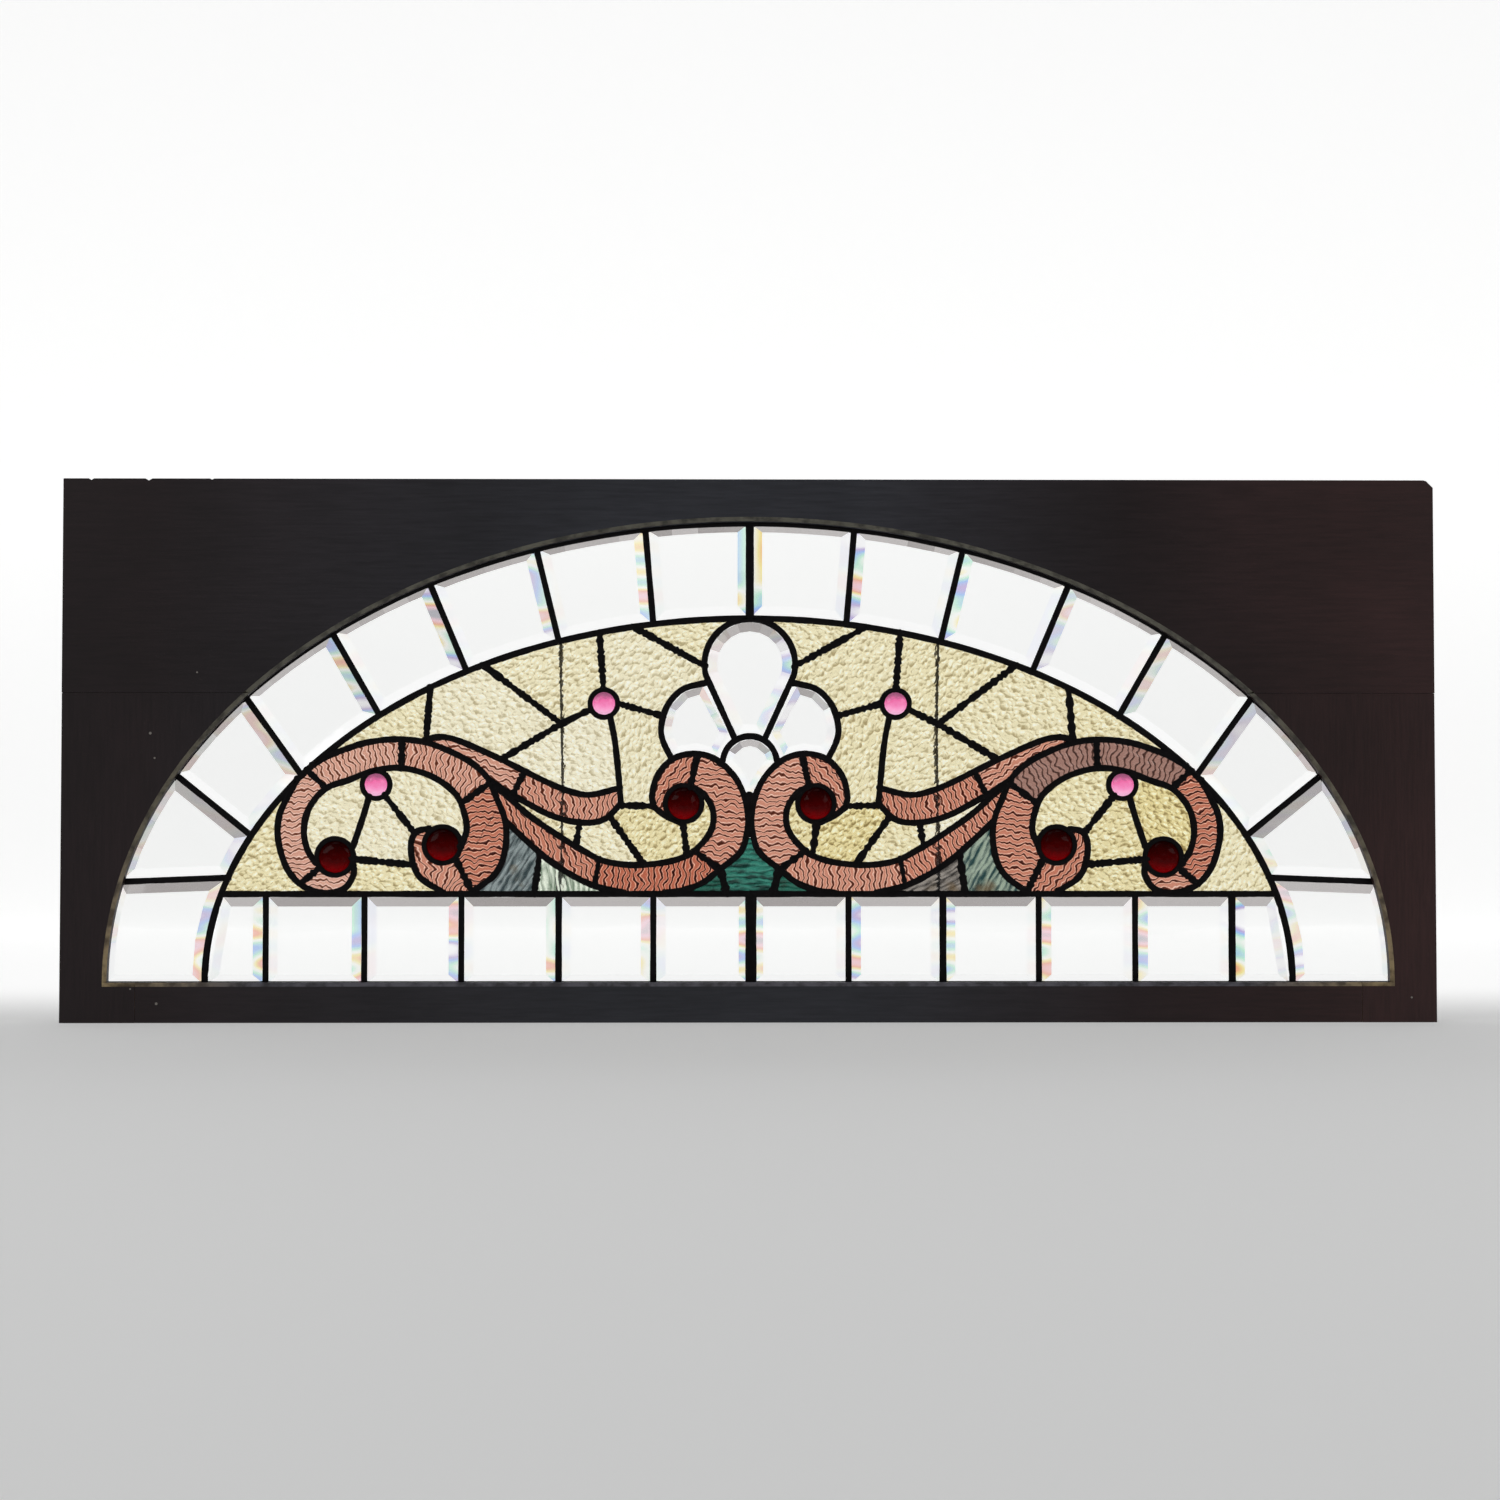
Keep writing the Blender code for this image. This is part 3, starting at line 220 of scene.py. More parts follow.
# Spokes of the border, as x on the border came and on the inner arch
borderSpokes = [(-93.5, -86.2), (-191, -170.5), (-286, -252.5), (-373, -330), (-450, -399), (-512, -443.5),
                (-560, -464)]
# The bottom row stands a little to the right of the middle, as it was glazed
bottomPosts = [(-430, 5.4), (-342.5, 5.4), (-256.5, 5.2), (-170, 6.0), (-85.9, 5.6), (1.0, 10.0), (87.9, 5.4),
               (172.0, 6.4), (257.5, 5.4), (343.5, 5.4), (430, 6.6)]
teardrop = {"centre": (0, 318.5), "radius": 40.5, "foot": (13, 251)}
fan = {"centre": (0, 230), "radius": 24.2, "foot": (26.5, 230)}
jewels = [("ruby", 1, (-59, 194), 14.0), ("ruby", 2, (-273.6, 157.2), 14.0), ("ruby", 3, (-369, 146.5), 14.0),
          ("pink", 1, (-130.2, 283.3), 10.0), ("pink", 2, (-332.8, 210.8), 10.0)]


# Each came as (line, width, closed, family): drawn lines on both sides, then the built ones.
def allCames():
    width = cames["width"]
    found = []

    # A line and its mirror image
    def addBoth(line, wide, family):
        found.extend([(line, wide, False, family), (mirrored(line), wide, False, family)])

    for points in scrollLines:
        addBoth(smoothLine(points, cames["step"]), width, "scroll")
    for drawn, wide in ((straightLines, width), (thinLines, cames["thinWidth"]),
                        (wideLines, cames["wideWidth"])):
        for points in drawn:
            addBoth(np.asarray(points, float), wide, "scroll")
    for outerX, innerX in borderSpokes:
        addBoth(np.array([onBorder(outerX), onInnerArch(innerX)]), width, "border")
    found.append((np.array([onBorder(0), onInnerArch(0)]), cames["crownWidth"], False, "border"))
    found.append((np.array(volutesMeet, float), width, False, "scroll"))
    for x, wide in bottomPosts:
        found.append((np.array([(x, borderSill), (x, barHeight)]), wide, False, "border"))
    barEnd = archHalf(barHeight, innerHalf, innerRise)
    found.append((np.array([(-barEnd, barHeight), (barEnd, barHeight)]), width, False, "border"))
    angle = np.linspace(0, math.pi, 181)
    inner = archPoints(angle, innerHalf, innerRise)
    inner = np.vstack([(innerHalf, borderSill), inner, (-innerHalf, borderSill)])
    found.append((evenSteps(inner, cames["archStep"]), width, False, "border"))
    outer = evenSteps(archPoints(angle, borderHalf, borderRise)[2:-2], cames["rimStep"])
    outer = np.vstack([(borderHalf, borderSill), outer, (-borderHalf, borderSill)])
    found.append((outer, cames["borderWidth"], True, "border"))
    for shape, start, end, count in ((teardrop, 194, -14, 50), (fan, 176, 4, 30)):
        x, z = shape["foot"]
        arc = arcLine(shape["centre"], shape["radius"], start, end, count)
        found.append((np.vstack([(-x, z), arc, (x, z)]), width, False, "scroll"))
    for _, _, centre, radius in jewels:
        for side in (1, -1):
            ring = arcLine((side * centre[0], centre[1]), radius + cames["ringWidth"] / 2, 0, 360, 41)[:-1]
            found.append((ring, cames["ringWidth"], True, "scroll"))
    return found


# Mitred offsets of a line: each point moves across by the distance over the cosine of half its turn.
def acrossLine(line, closed):
    before = np.roll(line, 1, 0) if closed else np.vstack([2 * line[0] - line[1], line[:-1]])
    after = np.roll(line, -1, 0) if closed else np.vstack([line[1:], 2 * line[-1] - line[-2]])
    one = line - before
    two = after - line
    one /= np.maximum(np.hypot(*one.T), 1e-9)[:, None]
    two /= np.maximum(np.hypot(*two.T), 1e-9)[:, None]
    way = one + two
    way /= np.maximum(np.hypot(*way.T), 1e-9)[:, None]
    stretch = 1 / np.maximum(np.sum(way * one, 1), 0.45)
    return np.stack([-way[:, 1], way[:, 0]], 1) * stretch[:, None]


# Corner numbers of a grid's quads, row after row; either way of the grid can close on itself.
def gridQuads(rows, columns, closeRows=False, closeColumns=False):
    r = np.arange(rows if closeRows else rows - 1)[:, None]
    c = np.arange(columns if closeColumns else columns - 1)[None, :]
    rNext, cNext = (r + 1) % rows, (c + 1) % columns
    corners = [r * columns + c, rNext * columns + c, rNext * columns + cNext, r * columns + cNext]
    return np.stack([k.ravel() for k in np.broadcast_arrays(*corners)], 1)


# A profile carried along a line: point plus across offset, at the profile's depth. Ends close in pairs.
def carried(line, profile, closed, swell=None):
    across = acrossLine(line, closed)
    swell = np.ones(len(line)) if swell is None else swell
    x = line[:, None, 0] + across[:, None, 0] * profile[None, :, 0] * swell[:, None]
    z = line[:, None, 1] + across[:, None, 1] * profile[None, :, 0] * swell[:, None]
    y = np.broadcast_to(panelMiddle + profile[None, :, 1], x.shape)
    points = np.stack([x, y, z], 2).reshape(-1, 3)
    count = len(profile)
    quads = gridQuads(len(line), count, closed, True)
    if not closed:
        k = np.arange(count // 2 - 1)
        first = np.stack([k, k + 1, count - 2 - k, count - 1 - k], 1)
        quads = np.vstack([quads, first, first + (len(line) - 1) * count])
    return points, quads


# Section of a came: two domed flanges on a thin heart, listed from the front round to the back and home.
def cameProfile(width):
    half, deep = width / 2, cames["depth"] / 2
    heart, channel = cames["heart"] / 2, cames["channel"] / 2
    side = np.array([(0.25 * half, -deep), (0.7 * half, -0.95 * deep), (0.93 * half, -0.8 * deep),
                     (half, -channel - 0.05), (heart, -channel), (heart, channel), (half, channel + 0.05),
                     (0.93 * half, 0.8 * deep), (0.7 * half, 0.95 * deep), (0.25 * half, deep)])
    return np.vstack([side, (side * (-1, 1))[::-1]])


# Meshes are joined by shifting the later corner numbers by the points before them.
def joined(parts):
    shift = np.cumsum([0] + [len(points) for points, _ in parts[:-1]])
    return np.vstack([p for p, _ in parts]), np.vstack([q + s for (_, q), s in zip(parts, shift)])


# A dome on both faces of the panel: rings of falling radius, raised by a cosine of the radius share.
def solderDome(centre, radius, height, turn):
    share = np.array([0.12, 0.45, 0.75, 1.0, 1.0])
    lift = np.array([height, 0.82 * height, 0.4 * height, -0.25, -0.6])
    angle = np.linspace(0, 2 * math.pi, 12, endpoint=False)
    wobble = 1 + 0.13 * np.cos(2 * angle + turn) + 0.07 * np.cos(3 * angle - 2 * turn)
    reach = radius * share[:, None] * wobble[None, :]
    x = centre[0] + reach * np.cos(angle)
    z = centre[1] + reach * np.sin(angle)
    top = cames["depth"] / 2
    parts = []
    for face in (-1, 1):
        y = np.broadcast_to((panelMiddle + face * (top + lift))[:, None], x.shape)
        points = np.stack([x, y, z], 2).reshape(-1, 3)
        quads = gridQuads(5, 12, False, True)
        k = np.arange(5)
        lid = np.stack([k, k + 1, 10 - k, 11 - k], 1)
        parts.append((points, np.vstack([quads, lid, lid + 48])))
    return parts


# Puts arrays into a mesh object: points in millimetres times a thousandth, corner and start numbers as they
# are; then normals are made to face out. Tone and flow come by point, and a facet's bearings by face.
def addPiece(name, points, faces, materials, replaced=(), sharp=35.0, faceMaterial=None, flow=None,
             tone=None, facet=None):
    mesh = bpy.data.meshes.new(name)
    sizes = np.concatenate([np.full(len(f), f.shape[1]) for f in faces])
    corners = np.concatenate([f.ravel() for f in faces]).astype(np.int32)
    mesh.vertices.add(len(points))
    mesh.vertices.foreach_set("co", (points * millimetre).astype(np.float32).ravel())
    mesh.loops.add(len(corners))
    mesh.loops.foreach_set("vertex_index", corners)
    mesh.polygons.add(len(sizes))
    mesh.polygons.foreach_set("loop_start", (np.cumsum(sizes) - sizes).astype(np.int32))
    if faceMaterial is not None:
        mesh.polygons.foreach_set("material_index", faceMaterial.astype(np.int32))
    mesh.update(calc_edges=True)
    if facet is not None:
        held = mesh.attributes.new("facet", "FLOAT_VECTOR", "FACE")
        held.data.foreach_set("vector", facet.ravel().astype(np.float32))
    if tone is not None:
        values = np.full(len(points), tone, np.float32)
        mesh.attributes.new("tone", "FLOAT", "POINT").data.foreach_set("value", values)
    if flow is not None:
        layer = mesh.uv_layers.new(name="flow")
        layer.data.foreach_set("uv", flow[corners].astype(np.float32).ravel())
    for material in materials:
        mesh.materials.append(material)
    mesh.polygons.foreach_set("use_smooth", np.ones(len(sizes), bool))
    mesh.set_sharp_from_angle(angle=math.radians(sharp))
    piece = bpy.data.objects.new(name, mesh)
    bpy.context.scene.collection.objects.link(piece)
    bpy.context.view_layer.objects.active = piece
    piece.select_set(True)
    bpy.ops.object.mode_set(mode="EDIT")
    bpy.ops.mesh.select_all(action="SELECT")
    bpy.ops.mesh.normals_make_consistent(inside=False)
    bpy.ops.object.mode_set(mode="OBJECT")
    piece.select_set(False)
    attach(piece, "root")
    if replaced:
        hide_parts(*replaced)
    return piece


# One node of a material: settings by name, then values or links by socket
def addNode(tree, kind, inputs=None, **settings):
    made = tree.nodes.new("ShaderNode" + kind)
    for key, value in settings.items():
        setattr(made, key, value)
    for key, value in (inputs or {}).items():
        if isinstance(value, bpy.types.NodeSocket):
            tree.links.new(value, made.inputs[key])
        else:
            made.inputs[key].default_value = value
    return made


# Arithmetic of two or three values
def maths(tree, operation, a, b=0.0, c=0.0):
    return addNode(tree, "Math", {0: a, 1: b, 2: c}, operation=operation).outputs[0]


# Sum of two values, each times its share
def weighed(tree, a, shareA, b, shareB):
    return maths(tree, "ADD", maths(tree, "MULTIPLY", a, shareA), maths(tree, "MULTIPLY", b, shareB))


# A value carried from one range to another, and held inside it
def mapped(tree, value, low, high, toLow=0.0, toHigh=1.0):
    ends = {"From Min": low, "From Max": high, "To Min": toLow, "To Max": toHigh}
    return addNode(tree, "MapRange", {"Value": value, **ends}).outputs[0]


# Noise at a place, about a half in the mean
def noise(tree, vector, scale, detail=2.0, **more):
    inputs = {"Vector": vector, "Scale": scale, "Detail": detail, **more}
    return addNode(tree, "TexNoise", inputs).outputs["Fac"]


# Two vectors added
def shifted(tree, vector, by):
    return addNode(tree, "VectorMath", {0: vector, 1: by}, operation="ADD").outputs[0]


# Colours at stops of a value, straight between them
def ramp(tree, factor, stops):
    made = addNode(tree, "ValToRGB", {"Fac": factor})
    band = made.color_ramp
    while len(band.elements) < len(stops):
        band.elements.new(0.5)
    for element, (stop, colour) in zip(band.elements, stops):
        element.position = stop
        element.color = (*colour, 1)
    return made.outputs["Color"]


# One colour goes to the other by the factor; with MULTIPLY, to their product.
def mixColour(tree, factor, one, two, blend="MIX"):
    made = addNode(tree, "Mix", {0: factor, 6: one, 7: two}, data_type="RGBA", blend_type=blend)
    return made.outputs[2]


# A material with its tree and shader; sockets are named with a low line for each space.
def newMaterial(name, roughness, **sockets):
    material = bpy.data.materials.new(name)
    material.use_nodes = True
    shader = material.node_tree.nodes["Principled BSDF"]
    shader.inputs["Roughness"].default_value = roughness
    for key, value in sockets.items():
        shader.inputs[key.replace("_", " ")].default_value = value
    return material, material.node_tree, shader


# The place on the object, in metres, stretched
def place(tree, scale=(1, 1, 1)):
    source = addNode(tree, "TexCoord").outputs["Object"]
    return addNode(tree, "Mapping", {"Vector": source, "Scale": scale}).outputs[0]


# The shader's colour comes from a node
def setColour(tree, shader, colour):
    tree.links.new(colour, shader.inputs["Base Color"])


# Its roughness runs between two ends as a value goes from nought to one.
def setRoughness(tree, shader, value, low, high):
    tree.links.new(mapped(tree, value, 0.0, 1.0, low, high), shader.inputs["Roughness"])


# Its normal leans with a height: the surface is lifted by height times distance, as far as strength says.
def bump(tree, shader, height, strength, distance):
    made = addNode(tree, "Bump", {"Height": height, "Strength": strength, "Distance": distance})
    tree.links.new(made.outputs[0], shader.inputs["Normal"])


# A dull finish: fine noise runs between two colours and lifts the surface by (strength, distance).
def speckled(name, roughness, scale, detail, stops, lift=None, rough=None, **sockets):
    material, tree, shader = newMaterial(name, roughness, **sockets)
    speck = noise(tree, place(tree), scale, detail)
    setColour(tree, shader, ramp(tree, speck, stops))
    if rough:
        setRoughness(tree, shader, speck, *rough)
    if lift:
        bump(tree, shader, speck, *lift)
    return material


# Colours of glass, lead and paint. The salmon light colour is a painted highlight, the cream dark and light
# colours are the painted shade and light of the pebbles, and the ruby colour is the painted light low in the
# ruby jewels.
coloursAndPaintedLight = {
    "salmonDark": (0.15, 0.040, 0.017),
    "salmonMiddle": (0.71, 0.365, 0.27),
    "salmonPaintedHighlight": (1.0, 0.80, 0.69),
    "mauveDark": (0.07, 0.028, 0.02),
    "mauveLight": (0.37, 0.205, 0.165),
    "creamDark": (0.56, 0.48, 0.29),
    "creamMiddle": (0.92, 0.86, 0.63),
    "creamLight": (1.0, 0.99, 0.84),
    "ruby": (0.15, 0.0, 0.001),
    "pink": (1.0, 0.28, 0.56),
    "woodLeft": (0.0145, 0.0080, 0.0090),
    "woodMiddle": (0.0290, 0.0300, 0.0370),
    "woodRight": (0.0330, 0.0130, 0.0125),
    "leadColour": (0.0035, 0.0028, 0.0034),
}

# Patterns are drawn in ripple coordinates, in centimetres: across the ripples, then along them.
patterns = {
    "paleTone": 0.8,        # tone at which a colour stays as it is
    "ripplePitch": 0.58,
    "rippleSway": 1.1,      # how far slow noise moves a ripple
    "rippleWaver": 2.8,
    "rippleDeepens": 1.8,   # how much a low tone deepens the salmon glass
    "pebbles": 2.15,        # pebbles of the cream glass in a centimetre
    "pebbleShade": 0.45,
    "pebbleLean": 2.1,      # light from above on one side of each pebble
    "pebbleDeepens": 1.6,
    "streakPitch": 0.62,
    "facetPatches": 48.0,   # prism patches in a metre
    "facetChance": 0.16,    # how much chance shifts a facet's grey
}


# The ripple coordinates, stretched, and the tone of the piece
def flowAndTone(tree, stretch):
    flow = addNode(tree, "UVMap", uv_map="flow").outputs[0]
    tone = addNode(tree, "Attribute", attribute_name="tone").outputs["Fac"]
    return addNode(tree, "Mapping", {"Vector": flow, "Scale": stretch}).outputs[0], tone


# The tone deepens a colour by a power: one at the pale tone, and strength more for each tone below it.
def deepened(tree, colour, tone, strength):
    power = maths(tree, "MULTIPLY_ADD", tone, -strength, 1 + patterns["paleTone"] * strength)
    return addNode(tree, "Gamma", {"Color": colour, "Gamma": power}).outputs[0]


# Salmon glass: dark wavy bands of the ripple pattern, each with a painted highlight along its edge. A sine of
# fixed pitch reads a coordinate that noise bends.
def salmonGlass():
    material, tree, shader = newMaterial("salmonRippleGlass", 0.12, Transmission_Weight=0.97, IOR=1.5,
                                         Specular_IOR_Level=0.2)
    flow, tone = flowAndTone(tree, (1, 1, 1))
    slow = addNode(tree, "Mapping", {"Vector": flow, "Scale": (0.5, 1.25, 1)}).outputs[0]
    sway = maths(tree, "MULTIPLY", noise(tree, slow, 1.0, 1.0), patterns["rippleSway"])
    bent = shifted(tree, flow, addNode(tree, "CombineXYZ", {"X": sway}).outputs[0])
    waves = addNode(tree, "TexWave", {"Vector": bent, "Scale": patterns["ripplePitch"], "Detail": 0.5,
                                      "Distortion": patterns["rippleWaver"], "Detail Scale": 1.8,
                                      "Detail Roughness": 0.4}, wave_profile="SIN").outputs["Fac"]
    height = weighed(tree, waves, 0.72, noise(tree, flow, 1.8, 1.0, Roughness=0.5), 0.44)
    # The light stop just past each dark band is a painted highlight
    rosy = ramp(tree, height, [(0.29, coloursAndPaintedLight["salmonDark"]), (0.44, coloursAndPaintedLight["salmonMiddle"]),
                               (0.55, coloursAndPaintedLight["salmonPaintedHighlight"]), (0.72, coloursAndPaintedLight["salmonMiddle"])])
    mauve = ramp(tree, height, [(0.28, coloursAndPaintedLight["mauveDark"]), (0.50, coloursAndPaintedLight["mauveLight"])])
    rosy = deepened(tree, rosy, tone, patterns["rippleDeepens"])
    setColour(tree, shader, mixColour(tree, mapped(tree, tone, 0.1, 0.25), mauve, rosy))
    bump(tree, shader, height, 0.5, 0.001)
    return material


# Cream glass: pebbles from cell distances, lit from above by the distance a little way off less the one here.
def creamGlass():
    material, tree, shader = newMaterial("creamHammeredGlass", 0.1, Transmission_Weight=0.97, IOR=1.5,
                                         Specular_IOR_Level=0.3)
    flow, tone = flowAndTone(tree, (1.15, 0.85, 1))
    wander = addNode(tree, "TexNoise", {"Vector": flow, "Scale": 1.7, "Detail": 1.0}).outputs["Color"]
    drift = addNode(tree, "VectorMath", {0: wander, "Scale": 0.7}, operation="SCALE").outputs[0]
    bent = shifted(tree, flow, drift)
    here, away = (addNode(tree, "TexVoronoi", {
        "Vector": shifted(tree, bent, off), "Scale": patterns["pebbles"], "Smoothness": 0.3,
        "Randomness": 1.0}, feature="SMOOTH_F1").outputs["Distance"] for off in ((0, 0, 0), (0.06, 0.05, 0)))
    lean = maths(tree, "MULTIPLY", maths(tree, "SUBTRACT", away, here), patterns["pebbleLean"])
    dome = maths(tree, "SUBTRACT", 0.73, maths(tree, "MULTIPLY", here, patterns["pebbleShade"]))
    colour = ramp(tree, maths(tree, "ADD", dome, lean), [
        (0.10, coloursAndPaintedLight["creamDark"]), (0.42, coloursAndPaintedLight["creamMiddle"]), (0.62, coloursAndPaintedLight["creamMiddle"]),
        (0.90, coloursAndPaintedLight["creamLight"])])
    setColour(tree, shader, deepened(tree, colour, tone, patterns["pebbleDeepens"]))
    bump(tree, shader, here, 0.5, 0.001)
    return material


# Streaky glass: long streaks of stretched noise under broken ripples. The tone picks the colours: each stop
# holds a tone, a dark colour and a light one. Brown flecks come in where a second noise is high.
def streakyGlass(name, stops, fleck):
    material, tree, shader = newMaterial(name, 0.15, Transmission_Weight=0.96, IOR=1.5,
                                         Specular_IOR_Level=0.3)
    flow, tone = flowAndTone(tree, (1, 0.35, 1))
    ripples = addNode(tree, "TexWave", {
        "Vector": flow, "Scale": patterns["streakPitch"], "Distortion": 6.0, "Detail": 2.0,
        "Detail Scale": 2.2}, wave_profile="SIN").outputs["Fac"]
    height = weighed(tree, ripples, 0.22, noise(tree, flow, 1.5, 3.0, Distortion=0.8), 0.90)
    dark, light = (ramp(tree, tone, [(stop[0], stop[k]) for stop in stops]) for k in (1, 2))
    flecks = mapped(tree, noise(tree, place(tree), 46.0), 0.60, 0.74, 0.0, 0.8)
    colour = mixColour(tree, mapped(tree, height, 0.42, 0.70), dark, light)
    setColour(tree, shader, mixColour(tree, flecks, colour, (*fleck, 1)))
    bump(tree, shader, ripples, 0.5, 0.001)
    return material


# Pressed glass: light and shade painted by height within the jewel, for the light its dome refracts: lighter
# low down, painted shade under its upper rim, with faint clouds
def jewelGlass(name, stops, ior):
    material, tree, shader = newMaterial(name, 0.06, Transmission_Weight=0.99, IOR=ior)
    flow = addNode(tree, "UVMap", uv_map="flow").outputs[0]
    height = addNode(tree, "SeparateXYZ", {"Vector": flow}).outputs["Y"]
    share = maths(tree, "ADD", weighed(tree, height, 0.5, noise(tree, flow, 1.6, 1.0), 0.3), 0.35)
    setColour(tree, shader, ramp(tree, share, stops))
    return material


# Clear plate: old glass with a faint wave in its surface
def clearGlass():
    material, tree, shader = newMaterial("clearPlateGlass", 0.0, Transmission_Weight=1.0, IOR=1.5)
    shader.inputs["Base Color"].default_value = (0.985, 0.99, 0.985, 1)
    bump(tree, shader, noise(tree, place(tree), 9.0, 1.0), 0.08, 0.002)
    return material


# Ground facets with their light painted in: painted taupe grey shade where they look up, painted white light
# where they look down, painted prism colours on the sides and most of all where they face the middle. The
# colours come in patches along the facet.
def facetGlass():
    material, tree, shader = newMaterial("bevelFacetGlass", 0.02, Transmission_Weight=1.0, IOR=1.5)
    held = addNode(tree, "Attribute", attribute_name="facet").outputs["Vector"]
    up, centreward, luck = addNode(tree, "SeparateXYZ", {"Vector": held}).outputs
    jitter = maths(tree, "MULTIPLY", luck, patterns["facetChance"])
    height = maths(tree, "MULTIPLY_ADD", maths(tree, "ADD", up, jitter), 0.5, 0.5)
    facetLightByFacing = ramp(tree, height, [
        (0.0, (1, 1, 1)), (0.60, (0.94, 0.94, 0.95)), (0.70, (0.42, 0.39, 0.39)), (0.86, (0.22, 0.20, 0.195)),
        (0.94, (0.17, 0.15, 0.145)), (1.0, (0.32, 0.29, 0.285))])
    prism = ramp(tree, noise(tree, place(tree, (0.35, 0, 1)), patterns["facetPatches"], 0.0), [
        (0.26, (0.90, 0.90, 0.93)), (0.34, (0.27, 0.17, 0.51)), (0.40, (0.10, 0.27, 0.76)),
        (0.46, (0.28, 0.68, 0.46)), (0.52, (0.86, 0.88, 0.80)), (0.57, (0.83, 0.63, 0.12)),
        (0.62, (0.76, 0.17, 0.05)), (0.70, (0.80, 0.36, 0.46)), (0.78, (0.2, 0.2, 0.25))])
    amount = maths(tree, "MULTIPLY", mapped(tree, centreward, -1.0, 0.9, 0.25, 1.0),
                   mapped(tree, luck, -1.0, 1.0, 0.6, 1.0))
    upright = mapped(tree, maths(tree, "ABSOLUTE", up), 0.3, 0.8, 1.0, 0.0)
    setColour(tree, shader, mixColour(tree, maths(tree, "MULTIPLY", amount, upright), facetLightByFacing, prism))
    return material


# Specks as (x, z, radius) and nicks in the upper edge as (x, half width, depth)
sashMarks = {
    "specks": [(-531, 256, 1.2), (-527, 234, 0.9), (-490, 310, 0.8), (-524, 17, 1.2), (-547, 30, 0.8),
               (587, 22, 0.9)],
    "nicks": [(-585, 2.2, 1.6), (-534, 3.0, 1.8), (-478, 1.8, 1.0)],
}


# Painted wood: fine grain along the board, greyer in the middle, redder on the right, with a few pale specks
def paintedWood(name, grainScale):
    material, tree, shader = newMaterial(name, 0.46, Specular_IOR_Level=0.3)
    grain = noise(tree, place(tree, grainScale), 7.0, 5.0, Roughness=0.6)
    source = addNode(tree, "TexCoord").outputs["Object"]
    x = addNode(tree, "SeparateXYZ", {"Vector": source}).outputs["X"]
    paint = ramp(tree, mapped(tree, x, -0.6, 0.6), [
        (0.05, coloursAndPaintedLight["woodLeft"]), (0.38, coloursAndPaintedLight["woodMiddle"]), (0.58, coloursAndPaintedLight["woodMiddle"]),
        (0.78, coloursAndPaintedLight["woodLeft"]), (0.95, coloursAndPaintedLight["woodRight"])])
    for value, low, dim, high, bright in ((noise(tree, place(tree), 5.0, 4.0), 0.3, 0.72, 0.7, 1.35),
                                          (grain, 0.35, 0.85, 0.65, 1.15)):
        paint = mixColour(tree, 1.0, paint, ramp(tree, value, [(low, (dim,) * 3), (high, (bright,) * 3)]),
                          "MULTIPLY")
    for speckX, speckZ, radius in sashMarks["specks"]:
        centre = (speckX * millimetre, cadBox[0].y, speckZ * millimetre)
        gap = addNode(tree, "VectorMath", {0: source, 1: centre}, operation="DISTANCE").outputs["Value"]
        spot = maths(tree, "LESS_THAN", gap, radius * millimetre)
        paint = mixColour(tree, spot, paint, (0.22, 0.20, 0.18, 1))
    setColour(tree, shader, paint)
    setRoughness(tree, shader, grain, 0.36, 0.6)
    bump(tree, shader, grain, 0.25, 0.0006)
    return material


# Sight edge chamfer: painted light from the glass, gilt tan at the two lower corners, olive over the arch,
# violet grey along the sill, broken by patches of wear
def wornEdge():
    material, tree, shader = newMaterial("sightEdgePaintedLightAndWear", 0.42)
    source = addNode(tree, "TexCoord").outputs["Object"]
    split = addNode(tree, "SeparateXYZ", {"Vector": source})
    far = mapped(tree, maths(tree, "ABSOLUTE", split.outputs["X"]), 0.44, 0.565)
    high = mapped(tree, split.outputs["Z"], 0.045, 0.16)
    arch = mixColour(tree, high, (0.10, 0.095, 0.115, 1), (0.105, 0.10, 0.075, 1))
    # Painted light on the chamfer, strongest at the two lower corners and fading up the sides
    paintedCornerLight = maths(tree, "MULTIPLY", far, maths(tree, "SUBTRACT", 1.0, maths(tree, "MULTIPLY", high, 0.75)))
    colour = mixColour(tree, paintedCornerLight, arch, (0.34, 0.25, 0.125, 1))
    worn = noise(tree, source, 95.0, 3.0)
    patch = ramp(tree, worn, [(0.36, (0.35, 0.33, 0.33)), (0.6, (1.2, 1.2, 1.2))])
    setColour(tree, shader, mixColour(tree, 1.0, colour, patch, "MULTIPLY"))
    bump(tree, shader, worn, 0.3, 0.0006)
    return material


print("materials")
salmon, cream, clear, facets, edge = salmonGlass(), creamGlass(), clearGlass(), facetGlass(), wornEdge()
sideStreaks = streakyGlass("greyGreenStreakyGlass", [
    (0.12, (0.035, 0.055, 0.060), (0.26, 0.31, 0.31)), (0.45, (0.20, 0.27, 0.19), (0.86, 0.93, 0.78)),
    (0.68, (0.015, 0.055, 0.055), (0.34, 0.42, 0.33)), (0.92, (0.045, 0.040, 0.036), (0.30, 0.27, 0.24))],
    (0.16, 0.11, 0.055))
centreStreaks = streakyGlass("tealStreakyGlass", [
    (0.2, (0.002, 0.030, 0.020), (0.015, 0.13, 0.09)), (0.8, (0.0013, 0.030, 0.023), (0.036, 0.23, 0.17))],
    (0.02, 0.014, 0.006))
